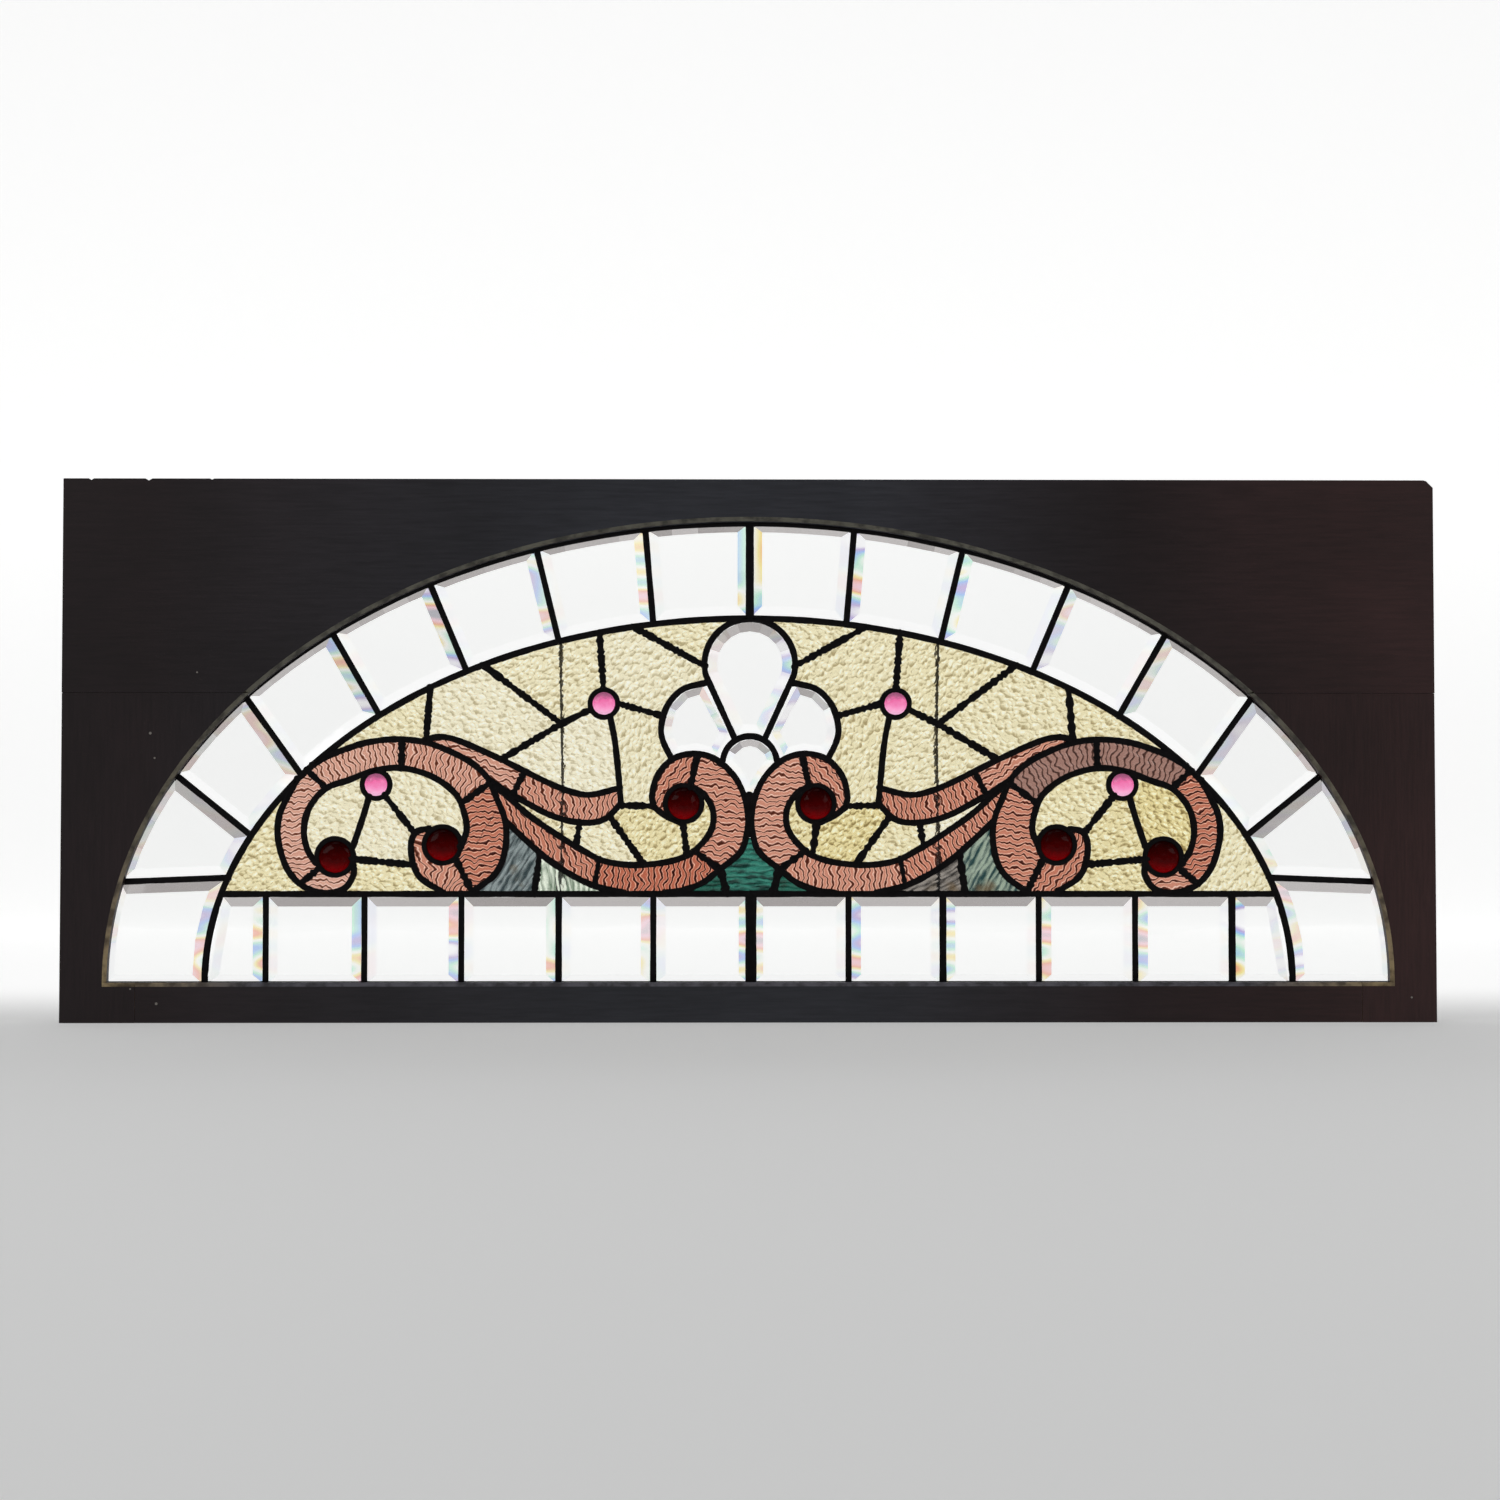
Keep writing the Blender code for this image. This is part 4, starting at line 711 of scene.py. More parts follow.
# Ruby and pink jewels: painted light low in each jewel, painted shade towards its top
ruby = jewelGlass("rubyPressedGlass", [
    (0.10, coloursAndPaintedLight["ruby"]), (0.38, (0.05, 0.0, 0.0003)), (0.65, (0.024, 0, 0)), (0.9, (0.008, 0, 0))], 1.15)
pink = jewelGlass("pinkPressedGlass", [
    (0.12, (1.0, 0.52, 0.76)), (0.42, coloursAndPaintedLight["pink"]), (0.60, (0.95, 0.18, 0.44)),
    (0.82, (0.40, 0.11, 0.22))], 1.4)
woodAlong = paintedWood("darkPaintAlong", (4, 60, 60))
woodUpright = paintedWood("darkPaintUpright", (60, 60, 4))
leadStops = [(stop, tuple(share * c for c in coloursAndPaintedLight["leadColour"]))
             for stop, share in ((0.35, 0.55), (0.7, 1.7))]
lead = speckled("darkLead", 0.55, 160.0, 4.0, leadStops, (0.35, 0.0006), (0.38, 0.66), Metallic=0.1,
                Specular_IOR_Level=0.12)
putty = speckled("oldPutty", 0.8, 300.0, 3.0, [(0.3, (0.05, 0.047, 0.042)), (0.7, (0.13, 0.12, 0.105))],
                 (0.5, 0.0008))
steel = speckled("dullSteelBar", 0.6, 120.0, 4.0, [(0.35, (0.03, 0.028, 0.027)), (0.7, (0.085, 0.065, 0.05))],
                 (0.4, 0.0006), Metallic=0.7)
# Cracks: a thin dark speckled line inside the glass
darkCrackLine = speckled("crackInGlass", 0.5, 400.0, 2.0, [
    (0.3, (0.02, 0.018, 0.016)), (0.7, (0.07, 0.06, 0.05))])

print("lead cames")
# A sine in a sine swells each came slowly, and chance makes its edges uneven from point to point.
allLines = allCames()
chance = np.random.default_rng(7)
for family, side in (("border", 0), ("scroll", -1), ("scroll", 1)):
    parts = []
    for line, width, closed, kind in allLines:
        if kind != family or side and (1 if line[:, 0].mean() > 1e-6 else -1) != side:
            continue
        fine = line if closed else evenSteps(line, cames["step"] if family == "scroll" else 4.0)
        phase, count = chance.uniform(0, 6.28), np.arange(len(fine))
        swell = 1 + cames["unevenness"] * np.sin(phase + count * 0.37) * np.sin(0.9 * phase + count * 0.11)
        straight = family == "scroll" and len(line) < 4
        ragged = cames["raggedStraight"] if straight else cames["ragged"] * (0.4 if family == "border" else 1)
        swell += ragged * chance.uniform(-0.6, 1, len(fine))
        parts.append(carried(fine, cameProfile(width), closed, swell))
        if not closed:
            for end in (line[0], line[-1]):
                radius = cames["solderRadius"] * chance.uniform(0.85, 1.1)
                parts += solderDome(end, radius, cames["solderHeight"], chance.uniform(0, 6.28))
    points, quads = joined(parts)
    word = {0: "", -1: "Left", 1: "Right"}[side]
    addPiece(family + "Cames" + word, points, [quads], [lead], ("lead_cames",), 60)


# Cuts the panel along the hearts of the cames. Hearts go in as narrow quads with a net of points between
# them, and triangles outside every quad are glass. Each is numbered by the piece of glass that it is part of.
def cutGlass(lines, spacing):
    quads = []
    half = cames["heart"] / 2 + 0.3
    for line, _, closed, _ in lines:
        if not closed:
            line = line.copy()
            for end, second in ((0, 1), (-1, -2)):
                run = line[end] - line[second]
                line[end] += run / np.hypot(*run) * cames["reach"]
        across = acrossLine(line, closed) * half
        left, right = line + across, line - across
        following = np.roll(np.arange(len(line)), -1)[:None if closed else -1]
        here = np.arange(len(following))
        quads.append(np.stack([right[here], right[following], left[following], left[here]], 1))
    quads = np.concatenate(quads)
    shape = np.roll(quads, -1, 1)
    area = np.sum(quads[:, :, 0] * shape[:, :, 1] - quads[:, :, 1] * shape[:, :, 0], 1)
    quads[area < 0] = quads[area < 0][:, ::-1]
    x = np.arange(-innerHalf, innerHalf, spacing)
    z = np.arange(barHeight, sash["springing"] + innerRise, spacing * 0.866)
    x, z = np.meshgrid(x, z)
    x = x + (np.arange(len(x)) % 2)[:, None] * spacing / 2
    inside = z < archHeight(x, innerHalf, innerRise) - 3
    net = np.vstack([quads.reshape(-1, 2), np.stack([x[inside], z[inside]], 1)])
    faces = np.arange(4 * len(quads)).reshape(-1, 4).tolist()
    found = delaunay_2d_cdt([Vector(p) for p in net.tolist()], [], faces, 0, 1e-4, True)
    points = np.array([tuple(p) for p in found[0]])
    glass = np.array([len(source) == 0 for source in found[5]])
    triangles = np.array(found[2])[glass]
    return points, triangles, lowestReachable(triangles)


# Neighbouring triangles share a pair of corners; the lower number spreads until nothing changes.
def lowestReachable(triangles):
    pairs = np.sort(np.stack([triangles, np.roll(triangles, -1, 1)], 2).reshape(-1, 2), 1)
    owner = np.repeat(np.arange(len(triangles)), 3)
    order = np.lexsort(pairs.T)
    pairs, owner = pairs[order], owner[order]
    same = np.all(pairs[1:] == pairs[:-1], 1)
    one, two = owner[1:][same], owner[:-1][same]
    label = np.arange(len(triangles))
    while True:
        low = np.minimum(label[one], label[two])
        spread = label.copy()
        np.minimum.at(spread, one, low)
        np.minimum.at(spread, two, low)
        spread = spread[spread]
        if np.array_equal(spread, label):
            return label
        label = spread


# The region that holds a point: the triangle whose three edge products share a sign.
def regionAt(points, triangles, label, spot):
    a, b, c = (points[triangles[:, k]] for k in range(3))
    turn = [(q - p)[:, 0] * (spot[1] - p[:, 1]) - (q - p)[:, 1] * (spot[0] - p[:, 0]) for p, q in
            ((a, b), (b, c), (c, a))]
    inside = (np.min(turn, 0) >= 0) | (np.max(turn, 0) <= 0)
    return label[np.argmax(inside)] if inside.any() else None


# Ripple coordinates in centimetres: the distances from the seed, turned by the angle. The ripples lean by the
# bend for each millimetre along, so the distance across them loses bend times both distances.
def rippled(points, seed, angle, bend):
    turn = math.radians(angle)
    gap = points - np.asarray(seed, float)
    along = gap[:, 0] * math.cos(turn) + gap[:, 1] * math.sin(turn)
    across = gap[:, 1] * math.cos(turn) - gap[:, 0] * math.sin(turn)
    return np.stack([across * (1 - bend * along), along], 1) / 10


# A flat cut piece: its triangles on both faces, and a wall under every edge that only one triangle has.
def sheetPiece(name, points, triangles, thickness, material, node, tone, flow):
    used, corners = np.unique(triangles, return_inverse=True)
    corners = corners.reshape(-1, 3)
    flat = points[used]
    count = len(flat)
    edges = np.stack([corners, np.roll(corners, -1, 1)], 2).reshape(-1, 2)
    _, first, times = np.unique(np.sort(edges, 1), axis=0, return_index=True, return_counts=True)
    rim = edges[first[times == 1]]
    walls = np.stack([rim[:, 0], rim[:, 1], rim[:, 1] + count, rim[:, 0] + count], 1)
    front = np.stack([flat[:, 0], np.full(count, panelMiddle - thickness / 2), flat[:, 1]], 1)
    back = front + (0, thickness, 0)
    return addPiece(name, np.vstack([front, back]), [np.vstack([corners, corners[:, ::-1] + count]), walls],
                    [material], (node,), 40, None, np.vstack([flow, flow]), tone)


# By node: title, material, slot and the cut pieces as (x, z, ripple angle, bend, tone), left side then right
figuredGlass = {
    "ripple_ribbon": ("ribbonGlass", salmon, "salmon_ripple_glass", [
        (-407, 165, 0, 0, 0.80), (-345, 235, 108, 0.006, 0.80), (-270, 226, 78, 0, 0.72),
        (-236, 165, 4, 0, 0.42), (-378, 123, -8, 0, 0.85), (-278, 128, 80, 0.03, 0.62),
        (-235, 229, -18, 0, 0.75), (-160, 191, 95, 0.0075, 0.62), (-180, 158, 108, 0, 0.5),
        (-90, 127, 86, 0, 0.26), (-72, 220, 52, 0, 0.5), (-18, 185, -6, 0, 0.6)], [
        (407, 165, 9, 0, 0.4), (345, 235, 78, 0.004, 0.08), (270, 226, 112, 0.004, 0.1),
        (236, 165, -5, 0, 0.52), (378, 123, 2, 0, 0.62), (278, 128, 50, 0, 0.48), (235, 229, 33, 0, 0.62),
        (160, 191, 105, -0.0045, 0.5), (180, 158, 118, 0, 0.5), (90, 127, 90, 0, 0.62),
        (72, 220, 128, 0, 0.55), (18, 185, 0, 0, 0.66)]),
    "hammered_scroll": ("scrollGlass", cream, "cream_hammered_glass", [
        (-372, 185, 12, 0, 0.75), (-330, 165, 0, 0, 0.8), (-290, 195, -15, 0, 0.75),
        (-325, 127, 8, 0, 0.45)], [
        (372, 185, -10, 0, 0.0), (330, 165, 20, 0, 0.25), (290, 195, 5, 0, 0.45), (325, 127, 10, 0, 0.3)]),
    "hammered_field": ("fieldGlass", cream, "cream_hammered_glass", [
        (-310, 268, 0, 0, 0.6), (-230, 270, 5, 0, 0.8), (-180, 300, 40, 0, 0.65), (-165, 235, 0, 0, 0.85),
        (-90, 310, 55, 0, 0.75), (-60, 345, 20, 0, 0.6), (-100, 235, 80, 0, 0.7), (-171, 173, 30, 0, 0.6),
        (-135, 160, 0, 0, 0.7), (-80, 165, 60, 0, 0.3), (-41, 178, 40, 0, 0.3)], [
        (310, 268, 10, 0, 0.5), (230, 270, 0, 0, 0.6), (180, 300, 60, 0, 0.55), (165, 235, 45, 0, 0.6),
        (90, 310, 60, 0, 0.6), (60, 345, 0, 0, 0.6), (100, 235, 75, 0, 0.55), (171, 173, 20, 0, 0.85),
        (135, 160, 0, 0, 0.5), (80, 165, 50, 0, 0.05), (41, 178, 40, 0, 0.2)]),
    "hammered_corner": ("cornerGlass", cream, "cream_hammered_glass", [(-435, 145, 30, 0, 0.45)],
                        [(435, 145, 75, 0, 0.6)]),
    "streaky_side": ("sideStreakyGlass", sideStreaks, "grey_green_streaky_glass",
                     [(-203, 135, 58, 0, 0.12), (-175, 123, 95, 0, 0.45)],
                     [(203, 135, 62, 0, 0.68), (175, 123, 28, 0, 0.92)]),
}

centreGlass = [(-40, 118.6, 0, 0, 0.2), (0, 130, 0, 0, 0.8), (40, 118.6, 0, 0, 0.2)]
sheet = {"thickness": 3.0, "netSpacing": 4.0, "patternShift": 9}

print("figured glass")
cutPoints, cutTriangles, cutLabel = cutGlass(allLines, sheet["netSpacing"])


# The cut piece that holds a point, its pattern moved by chance
def cutPiece(name, spec, material, node):
    x, z, angle, bend, tone = spec
    chosen = cutTriangles[cutLabel == regionAt(cutPoints, cutTriangles, cutLabel, (x, z))]
    flow = rippled(cutPoints[np.unique(chosen)], (x, z), angle, bend)
    flow += sheet["patternShift"] * chance.uniform(0, 1, 2)
    sheetPiece(name, cutPoints, chosen, sheet["thickness"], material, node, tone, flow)


for node, (title, material, slotName, leftPieces, rightPieces) in figuredGlass.items():
    for word, pieces in (("Left", leftPieces), ("Right", rightPieces)):
        for number, spec in enumerate(pieces, 1):
            cutPiece(title + word + str(number), spec, material, node + "_" + word.lower())
for number, spec in enumerate(centreGlass, 1):
    cutPiece("centreStreakyGlass" + str(number), spec, centreStreaks, "streaky_centre")

bevels = {
    "edge": 3.0,            # thickness at the ground edge
    "plate": 5.6,           # thickness of the plateau
    "seat": 0.9,            # from the came's middle to the glass
    "land": 1.9,            # flat strip under the flange
    "rimWidth": 9.3,        # from the came's middle to the plateau, under the arch of the sash
    "sillWidth": 10.0,
    "sideWidth": 11.0,
    "smallWidth": 10.2,
}


# Facet widths of a border pane's edges, by where the middle of each edge lies.
def paneWidths(outline):
    middle = (outline + np.roll(outline, -1, 0)) / 2
    onRim = np.hypot(middle[:, 0] / borderHalf, (middle[:, 1] - sash["springing"]) / borderRise) > 0.985
    onSill = middle[:, 1] < borderSill + 1
    return np.where(onSill, bevels["sillWidth"], np.where(onRim, bevels["rimWidth"], bevels["sideWidth"]))


# Moves a corner in by its two edges' own widths: the point that lies that far from both, or the mitred mean
# of them where the edges run nearly on.
def unevenMitre(outline, widths):
    run = np.roll(outline, -1, 0) - outline
    run /= np.hypot(*run.T)[:, None]
    after = np.stack([-run[:, 1], run[:, 0]], 1)
    before, widthBefore = np.roll(after, 1, 0), np.roll(widths, 1)
    cross = before[:, 0] * after[:, 1] - before[:, 1] * after[:, 0]
    turns = np.abs(cross) > 0.25
    met = np.stack([widthBefore * after[:, 1] - widths * before[:, 1],
                    widths * before[:, 0] - widthBefore * after[:, 0]], 1)
    met /= np.where(turns, cross, 1)[:, None]
    mean = acrossLine(outline, True) * ((widths + widthBefore) / 2)[:, None]
    return np.where(turns[:, None], met, mean)


# A bevelled plate: its outline moved in by mitred steps, from the back edge to the front edge, the land and
# the plateau. Each facet holds how far it looks up, how far to the middle, and a chance value, by which its
# light is painted.
def bevelPlate(name, outline, width, node):
    outline = np.asarray(outline, float)
    following = np.roll(outline, -1, 0)
    if np.sum(outline[:, 0] * following[:, 1] - outline[:, 1] * following[:, 0]) < 0:
        outline = outline[::-1]
    inward = acrossLine(outline, True)
    back = panelMiddle + bevels["edge"] / 2
    widths = width(outline) if callable(width) else np.full(len(outline), width)
    steps = [(inward * bevels["seat"], back), (inward * bevels["seat"], back - bevels["edge"]),
             (inward * (bevels["seat"] + bevels["land"]), back - bevels["edge"]),
             (unevenMitre(outline, widths), back - bevels["plate"])]
    rings = [np.insert(outline + shift, 1, depth, 1) for shift, depth in steps]
    count = len(outline)
    middle = outline.mean(0)
    tips = np.array([(middle[0], back - bevels["plate"], middle[1]), (middle[0], back, middle[1])])
    points = np.vstack(rings + [tips])
    quads = gridQuads(4, count, False, True)
    k = np.arange(count)
    lids = np.vstack([np.stack([3 * count + k, 3 * count + (k + 1) % count, np.full(count, 4 * count)], 1),
                      np.stack([(k + 1) % count, k, np.full(count, 4 * count + 1)], 1)])
    isFacet = np.concatenate([np.arange(len(quads)) // count == 2, np.zeros(len(lids), bool)])
    edges = np.roll(outline, -1, 0) - outline
    edges /= np.hypot(*edges.T)[:, None]
    # The outward way of an edge that runs by (x, z) is (z, -x)
    centreward = -np.sign(middle[0]) * edges[:, 1] if abs(middle[0]) > 1 else edges[:, 1]
    facing = np.stack([-edges[:, 0], centreward, chance.uniform(-1, 1, count)], 1)
    facet = np.vstack([np.tile(facing, (3, 1)), np.zeros((len(lids), 3))])
    return addPiece(name, points, [quads, lids], [clear, facets], (node,), 6,
                    isFacet.astype(int), facet=facet)


print("bevelled glass")
outerEnds = [(0.0, 0.0)] + borderSpokes
for number in range(1, 9):
    outerX, innerX = outerEnds[number - 1]
    if number < 8:
        nextOuter, nextInner = outerEnds[number]
        outerArc = [onBorder(x) for x in np.linspace(outerX, nextOuter, 5)]
        innerArc = [onInnerArch(x) for x in np.linspace(nextInner, innerX, 5 if number < 7 else 3)]
    else:  # the lowest pane, from its spoke down the ends of both arches to the sill
        low = 0.02
        start = math.asin((onBorder(outerX)[1] - sash["springing"]) / borderRise)
        outerArc = mirrored(archPoints(np.linspace(start, low, 4)[:-1], borderHalf, borderRise))
        start = math.asin((onInnerArch(innerX)[1] - sash["springing"]) / innerRise)
        innerArc = mirrored(archPoints(np.linspace(low, start, 4)[1:], innerHalf, innerRise))
        outerArc = np.vstack([outerArc, (-borderHalf, borderSill), (-innerHalf, borderSill)])
    outline = np.vstack([outerArc, innerArc])
    for turned, word in ((outline, "Left"), (mirrored(outline), "Right")):
        bevelPlate("borderBevel" + word + str(number), turned, paneWidths,
                   "border_bevel_%d_%s" % (number, word.lower()))

# The bottom row: the outermost panes lean along the inner arch
rowEnd, rowTop = innerHalf - 0.5, archHalf(barHeight, innerHalf, innerRise)
rowPlaces = [x for x, _ in bottomPosts]
sillPlaces, barPlaces = [-rowEnd] + rowPlaces + [rowEnd], [-rowTop] + rowPlaces + [rowTop]
for slot in range(12):
    number, word = (6 - slot, "Left") if slot < 6 else (slot - 5, "Right")
    outline = [(sillPlaces[slot], borderSill), (sillPlaces[slot + 1], borderSill),
               (barPlaces[slot + 1], barHeight), (barPlaces[slot], barHeight)]
    bevelPlate("bottomBevel" + word + str(number), outline, paneWidths,
               "bottom_bevel_%d_%s" % (number, word.lower()))

drop = arcLine(teardrop["centre"], teardrop["radius"], 194, -14, 13)
drop = np.vstack([(-12.4, 253.6), drop, (12.4, 253.6)])
bevelPlate("teardropBevel", drop, bevels["smallWidth"] + 1, "teardrop_bevel")
lobe = [(-69, 235.5), (-76.6, 249.5), (-79, 263), (-74, 281.5), (-60, 296), (-40.6, 302), (-27, 277),
        (-16.5, 257.5), (-24, 244), (-29, 233.5), (-48, 238.6)]
bevelPlate("lobeBevelLeft", lobe, bevels["smallWidth"] - 1, "lobe_bevel_left")
bevelPlate("lobeBevelRight", mirrored(lobe), bevels["smallWidth"] - 1, "lobe_bevel_right")
leaf = [(0, 196), (-14, 218.5), (-25, 231.5), (-20.5, 243), (-10.5, 251.5), (0, 254.2), (10.5, 251.5),
        (20.5, 243), (25, 231.5), (14, 218.5)]
bevelPlate("fanBevel", leaf, bevels["smallWidth"] - 1.6, "fan_bevel")

pressed = {"sides": 12, "crown": 4.4, "edge": 3.0, "seat": 1.3}


# A pressed jewel: rings of even angles, every other ring turned half a step, on a domed run of heights.
def pressedJewel(name, centre, radius, material, node):
    rim = radius + pressed["seat"]
    share = np.array([1.0, 1.0, 0.93, 0.74, 0.48, 0.2])
    lift = np.array([-pressed["edge"], 0.0, 0.0, 0.62, 0.92, 1.0]) * np.array([1, 1] + [pressed["crown"]] * 4)
    turns = np.array([0, 0, 0, 0.5, 0, 0.5])
    step = 2 * math.pi / pressed["sides"]
    angle = step * (np.arange(pressed["sides"])[None, :] + turns[:, None])
    x = centre[0] + rim * share[:, None] * np.cos(angle)
    z = centre[1] + rim * share[:, None] * np.sin(angle)
    y = np.broadcast_to((panelMiddle - pressed["edge"] / 2 - lift)[:, None], x.shape)
    crown = (centre[0], panelMiddle - pressed["edge"] / 2 - pressed["crown"] * 0.97, centre[1])
    foot = (centre[0], panelMiddle + pressed["edge"] / 2, centre[1])
    points = np.vstack([np.stack([x, y, z], 2).reshape(-1, 3), crown, foot])
    quads = gridQuads(6, pressed["sides"], False, True)
    halves = np.vstack([quads[:, [0, 1, 2]], quads[:, [0, 2, 3]]])
    k = np.arange(pressed["sides"])
    after = (k + 1) % pressed["sides"]
    last, total = 5 * pressed["sides"], 6 * pressed["sides"]
    caps = np.vstack([np.stack([last + k, last + after, np.full(len(k), total)], 1),
                      np.stack([after, k, np.full(len(k), total + 1)], 1)])
    flow = (points[:, [0, 2]] - np.asarray(centre, float)) / rim
    return addPiece(name, points, [np.vstack([halves, caps])], [material], (node,), 4, flow=flow)


print("jewels")
for kind, number, centre, radius in jewels:
    material = ruby if kind == "ruby" else pink
    for turn, word in ((1, "Left"), (-1, "Right")):
        pressedJewel(kind + "Jewel" + word + str(number), (turn * centre[0], centre[1]), radius, material,
                     "%s_jewel_%d_%s" % (kind, number, word.lower()))


# The four levels of the opening, front to back: depth, half width, rise and sill.
def openingLevels():
    front, back = sash["front"], sash["back"]
    seat = front + sash["lip"]
    sill = sash["sill"] + sash["chamfer"]
    wide, tall, low = lipHalf + sash["rebate"], lipRise + sash["rebate"], sill - sash["rebate"]
    return [(front, sash["sightHalf"], sash["sightRise"], sash["sill"]),
            (front + sash["chamferDepth"], lipHalf, lipRise, sill), (seat, lipHalf, lipRise, sill),
            (seat, wide, tall, low), (back, wide, tall, low)]


# A board as rows of closed sections, each at its place along the board: how far the levels of the opening
# reach, then the outer edge, less its arris in front and behind.
def sections(reach, along, outer, uprightBoard):
    arris = sash["arris"] * np.sign(outer - reach[:, 0])
    front, back = sash["front"], sash["back"]
    outside = [back, back - sash["arris"], front + sash["arris"], front]
    depth = np.array([level[0] for level in openingLevels()] + outside)
    reach = np.concatenate([reach, np.stack([outer - arris, outer, outer, outer - arris], 1)], 1)
    along = np.repeat(along[:, None], reach.shape[1], 1)
    y = np.broadcast_to(depth[None, :], reach.shape)
    order = [reach, y, along] if uprightBoard else [along, y, reach]
    return np.stack(order, 2).reshape(-1, 3), reach.shape[1]


# The sections joined by quads; the strip between the first two levels takes the sight edge's material of
# painted light with wear.
def boardPiece(name, sectionRows, rows, material, node):
    points, count = sectionRows
    quads = gridQuads(rows, count, False, True)
    ends = np.arange(count)[None, :]
    ends = np.vstack([ends, ends + (rows - 1) * count])
    worn = np.concatenate([np.arange(len(quads)) % count == 0, [False, False]])
    addPiece(name, points, [quads, ends], [material, edge], (node,), 25, worn)


print("sash")
levels = openingLevels()
nickPlaces = [x + w * k for x, w, _ in sashMarks["nicks"] for k in (-1, -0.5, 0, 0.5, 1)]
headX = np.unique(np.concatenate([np.linspace(-sash["half"], sash["half"], sash["headRows"]), nickPlaces]))
headReach = np.stack([np.maximum(sash["joint"] + sash["seam"], archHeight(headX, half, rise))
                      for _, half, rise, _ in levels], 1)
topEdge = np.full(len(headX), sash["height"])
for x, wide, deep in sashMarks["nicks"]:
    topEdge -= deep * np.clip(1 - np.abs(headX - x) / wide, 0, 1)
topEdge = np.minimum(topEdge, sash["height"] - (headX - sash["half"] + sash["cornerBreak"]))
boardPiece("headBoard", sections(headReach, headX, topEdge, False), len(headX), woodAlong, "head_board")

# Each step of the sill has two sections at one height: the first reaches the rail's end, the second the arch
steps = np.array(sorted({level[3] for level in levels}))
sideZ = np.linspace(0, sash["joint"] - sash["seam"], sash["sideRows"])
sideZ = np.sort(np.concatenate([sideZ, steps, steps]))
isAbove = np.concatenate([[False], sideZ[1:] == sideZ[:-1]])
innerX = []
for _, half, rise, sill in levels:
    curve = half * np.sqrt(np.clip(1 - (np.clip(sideZ - sash["springing"], 0, None) / rise) ** 2, 0, 1))
    above = (sideZ > sill) | ((sideZ == sill) & isAbove)
    innerX.append(np.where(above, curve, sash["railEnd"] + sash["seam"]))
for sign, word in ((-1, "Left"), (1, "Right")):
    side = sections(sign * np.stack(innerX, 1), sideZ, np.full(len(sideZ), sign * sash["half"]), True)
    boardPiece("sideBoard" + word, side, len(sideZ), woodUpright, "side_board_" + word.lower())

railX = np.linspace(-sash["railEnd"] + sash["seam"], sash["railEnd"] - sash["seam"], sash["railRows"])
railReach = np.tile([level[3] for level in levels], (len(railX), 1))
rail = sections(railReach, railX, np.zeros(len(railX)), False)
boardPiece("bottomRail", rail, len(railX), woodAlong, "bottom_rail")

print("putty and support bars")
# The bead leans from the rebate's wall to the back of the border came, with a slight ripple in its width
wall = sash["rebate"] - 0.2
sillWall = sash["sill"] + sash["chamfer"] - wall
bead = archPoints(np.linspace(0, math.pi, 150)[2:-2], lipHalf + wall, lipRise + wall)
bead = np.vstack([(lipHalf + wall, sillWall), evenSteps(bead, cames["rimStep"]), (-lipHalf - wall, sillWall)])
back = cames["depth"] / 2
beadSection = np.array([(8.0, back + 0.3), (6.5, back + 1.4), (2.5, back + 4.6), (0, back + 8.0),
                        (0, back + 0.3), (4.0, back + 0.3)])
ripple = 1 + 0.04 * np.sin(np.arange(len(bead)) * 0.8)
beadPoints, beadQuads = carried(bead, beadSection, True, ripple)
addPiece("puttyBead", beadPoints, [beadQuads], [putty], (), 50)

bars = {"offset": 168.0, "width": 2.4, "deep": 9.5, "ease": 0.6, "bow": 0.9, "bowLength": 37}
half, near = bars["width"] / 2, cames["depth"] / 2 + 0.3
far = near + bars["deep"]
barSection = np.array([(-0.5 * half, near), (-half, near + bars["ease"]), (-half, far - bars["ease"]),
                       (-0.5 * half, far), (0.5 * half, far), (half, far - bars["ease"]),
                       (half, near + bars["ease"]), (0.5 * half, near)])
for sign, word in ((-1, "Left"), (1, "Right")):
    height = np.linspace(barHeight, float(archHeight(bars["offset"], innerHalf, innerRise)), 40)
    bow = bars["bow"] * np.sin((height - barHeight) / bars["bowLength"] + sign)
    barPoints, barQuads = carried(np.stack([sign * bars["offset"] + bow, height], 1), barSection, False)
    addPiece("supportBar" + word, barPoints, [barQuads], [steel],
             ("support_bar_" + word.lower(),))

print("cracks")
cracks = {"Left": [(-244.5, 158), (-240, 163), (-237, 170), (-232, 177), (-227.5, 185)],
          "Right": [(399, 184.4), (406, 184), (412, 184.5), (418.5, 183.8)]}
crackSection = np.array([(-0.22, -1.7), (-0.22, -1.3), (0.22, -1.3), (0.22, -1.7)])
for word, points in cracks.items():
    crackPoints, crackQuads = carried(smoothLine(points, 1.5), crackSection, False)
    addPiece("crack" + word, crackPoints, [crackQuads], [darkCrackLine])

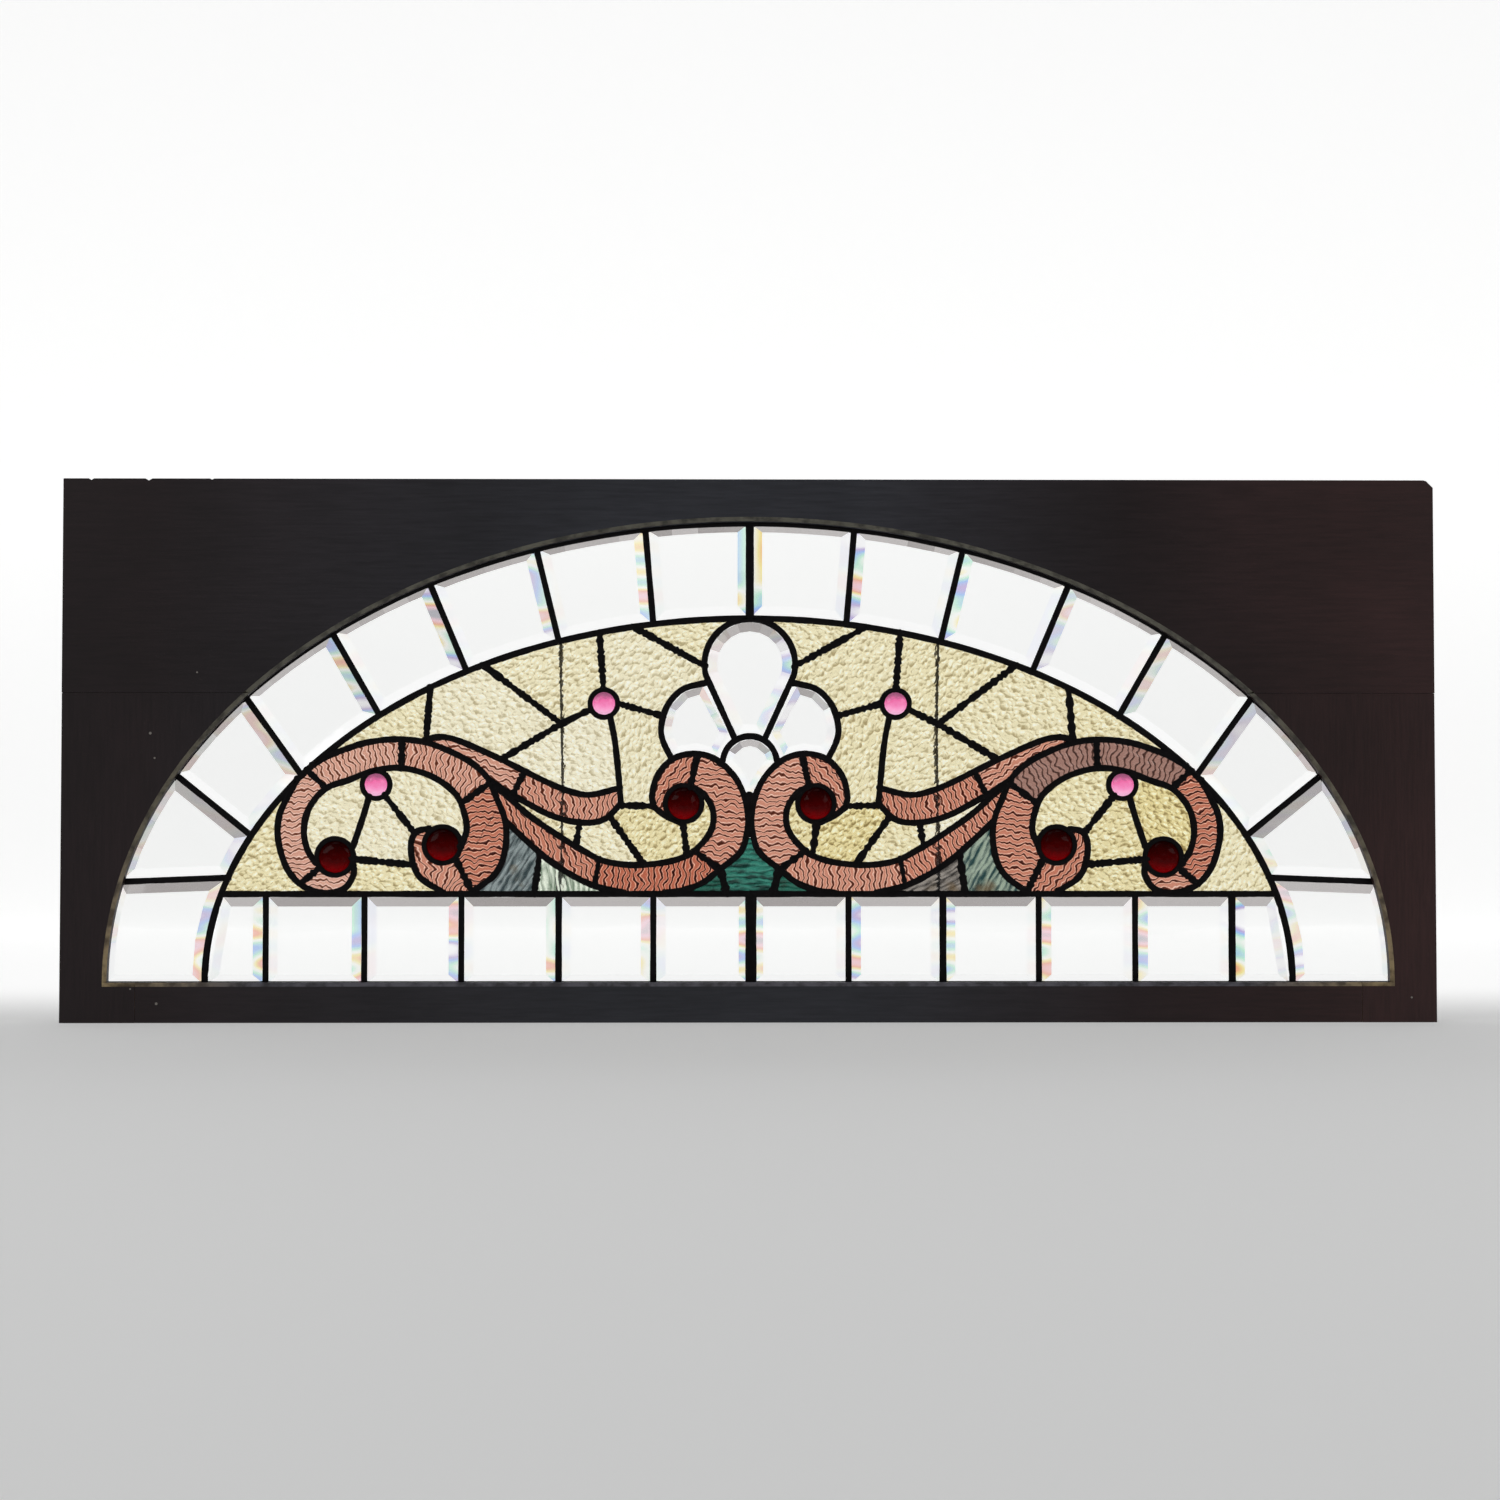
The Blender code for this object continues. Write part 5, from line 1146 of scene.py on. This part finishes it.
print("stage, light and camera")
studio = {
    "floorFront": -3.5,
    "wallDistance": 4.6,
    "curve": 1.0,
    "wallHeight": 5.0,
    "halfWidth": 7.0,
    "glow": 0.705,          # brightness of the wall behind the glass
    "floorGlow": 0.30,
    "world": 0.15,
    "columns": 9,
}
lights = {                  # place, target, size and power
    "frontLightLeft": ((-2.0, -2.4, 1.6), (0, 0, 0.25), (1.6, 1.2), 13.0),
    "frontLightRight": ((2.2, -2.2, 1.3), (0, 0, 0.25), (1.6, 1.2), 10.4),
    "topLight": ((0, -0.9, 2.3), (0, -0.6, 0), (2.4, 1.0), 5.0),
}
view = {
    "distance": 2.6,        # to the middle of the front face
    "below": 2.14,          # degrees that the camera looks up
    "aside": 0.69,          # degrees that it looks to the right
    "pixelsPerMillimetre": 1.127,
    "pictureWidth": 1500,
    "sensor": 36.0,
}
# The stage is one sheet: the floor, a quarter circle and the wall, drawn from the side and carried across
curveAngle = np.linspace(-math.pi / 2, 0, 24)
bend = np.stack([studio["wallDistance"] - studio["curve"] + studio["curve"] * np.cos(curveAngle),
                 studio["curve"] + studio["curve"] * np.sin(curveAngle)], 1)
sheetLine = np.vstack([(studio["floorFront"], 0), (-0.5, 0), (0, 0), bend, (studio["wallDistance"],
                                                                           studio["wallHeight"])])
columns = studio["columns"]
acrossX = np.linspace(-studio["halfWidth"], studio["halfWidth"], columns)
stagePoints = np.stack([np.tile(acrossX, (len(sheetLine), 1)), np.repeat(sheetLine[:, :1], columns, 1),
                        np.repeat(sheetLine[:, 1:], columns, 1)], 2).reshape(-1, 3)
stageMesh = bpy.data.meshes.new("paleStage")
stageMesh.from_pydata(stagePoints.tolist(), [], gridQuads(len(sheetLine), columns).tolist())
stageMesh.polygons.foreach_set("use_smooth", np.ones(len(stageMesh.polygons), bool))
paleStage = bpy.data.objects.new("paleStage", stageMesh)
bpy.context.scene.collection.objects.link(paleStage)
stageMaterial, stageTree, stageShader = newMaterial("palePaper", 0.9)
stageShader.inputs["Base Color"].default_value = (0.62, 0.62, 0.61, 1)
behind = addNode(stageTree, "SeparateXYZ", {"Vector": addNode(stageTree, "TexCoord").outputs["Object"]})
glow = addNode(stageTree, "MapRange", {"Value": behind.outputs["Y"], "From Min": -0.1, "From Max": 0.75,
                                       "To Min": studio["floorGlow"], "To Max": studio["glow"]},
               interpolation_type="SMOOTHSTEP")
stageShader.inputs["Emission Color"].default_value = (1, 1, 1, 1)
stageTree.links.new(glow.outputs[0], stageShader.inputs["Emission Strength"])
stageMaterial.cycles.emission_sampling = "NONE"  # the same light in two thirds of the time
stageMesh.materials.append(stageMaterial)

world = bpy.data.worlds.new("softStudio")
bpy.context.scene.world = world
world.use_nodes = True
world.node_tree.nodes["Background"].inputs["Color"].default_value = (0.95, 0.97, 1.0, 1)
world.node_tree.nodes["Background"].inputs["Strength"].default_value = studio["world"]


# Puts a lamp or a camera at a place and turns it along a line
def aimed(name, data, spot, way):
    made = bpy.data.objects.new(name, data)
    made.location = spot
    made.rotation_euler = way.to_track_quat("-Z", "Y").to_euler()
    bpy.context.scene.collection.objects.link(made)
    return made


for name, (spot, target, size, power) in lights.items():
    lamp = bpy.data.lights.new(name, "AREA")
    lamp.shape = "RECTANGLE"
    lamp.size, lamp.size_y = size
    lamp.energy = power
    aimed(name, lamp, spot, Vector(target) - Vector(spot))

up, aside = math.radians(view["below"]), math.radians(view["aside"])
looking = Vector((math.sin(aside) * math.cos(up), math.cos(aside) * math.cos(up), math.sin(up)))
middle = Vector((0, cadBox[0].y, cadBox[1].z / 2))
lens = bpy.data.cameras.new("photoCamera")
lens.sensor_width = view["sensor"]
lens.lens = view["pixelsPerMillimetre"] * view["distance"] * 1000 * view["sensor"] / view["pictureWidth"]
lens.clip_start = 0.05
bpy.context.scene.camera = aimed("photoCamera", lens, middle - looking * view["distance"], looking)
bpy.context.scene.view_settings.view_transform = "Standard"
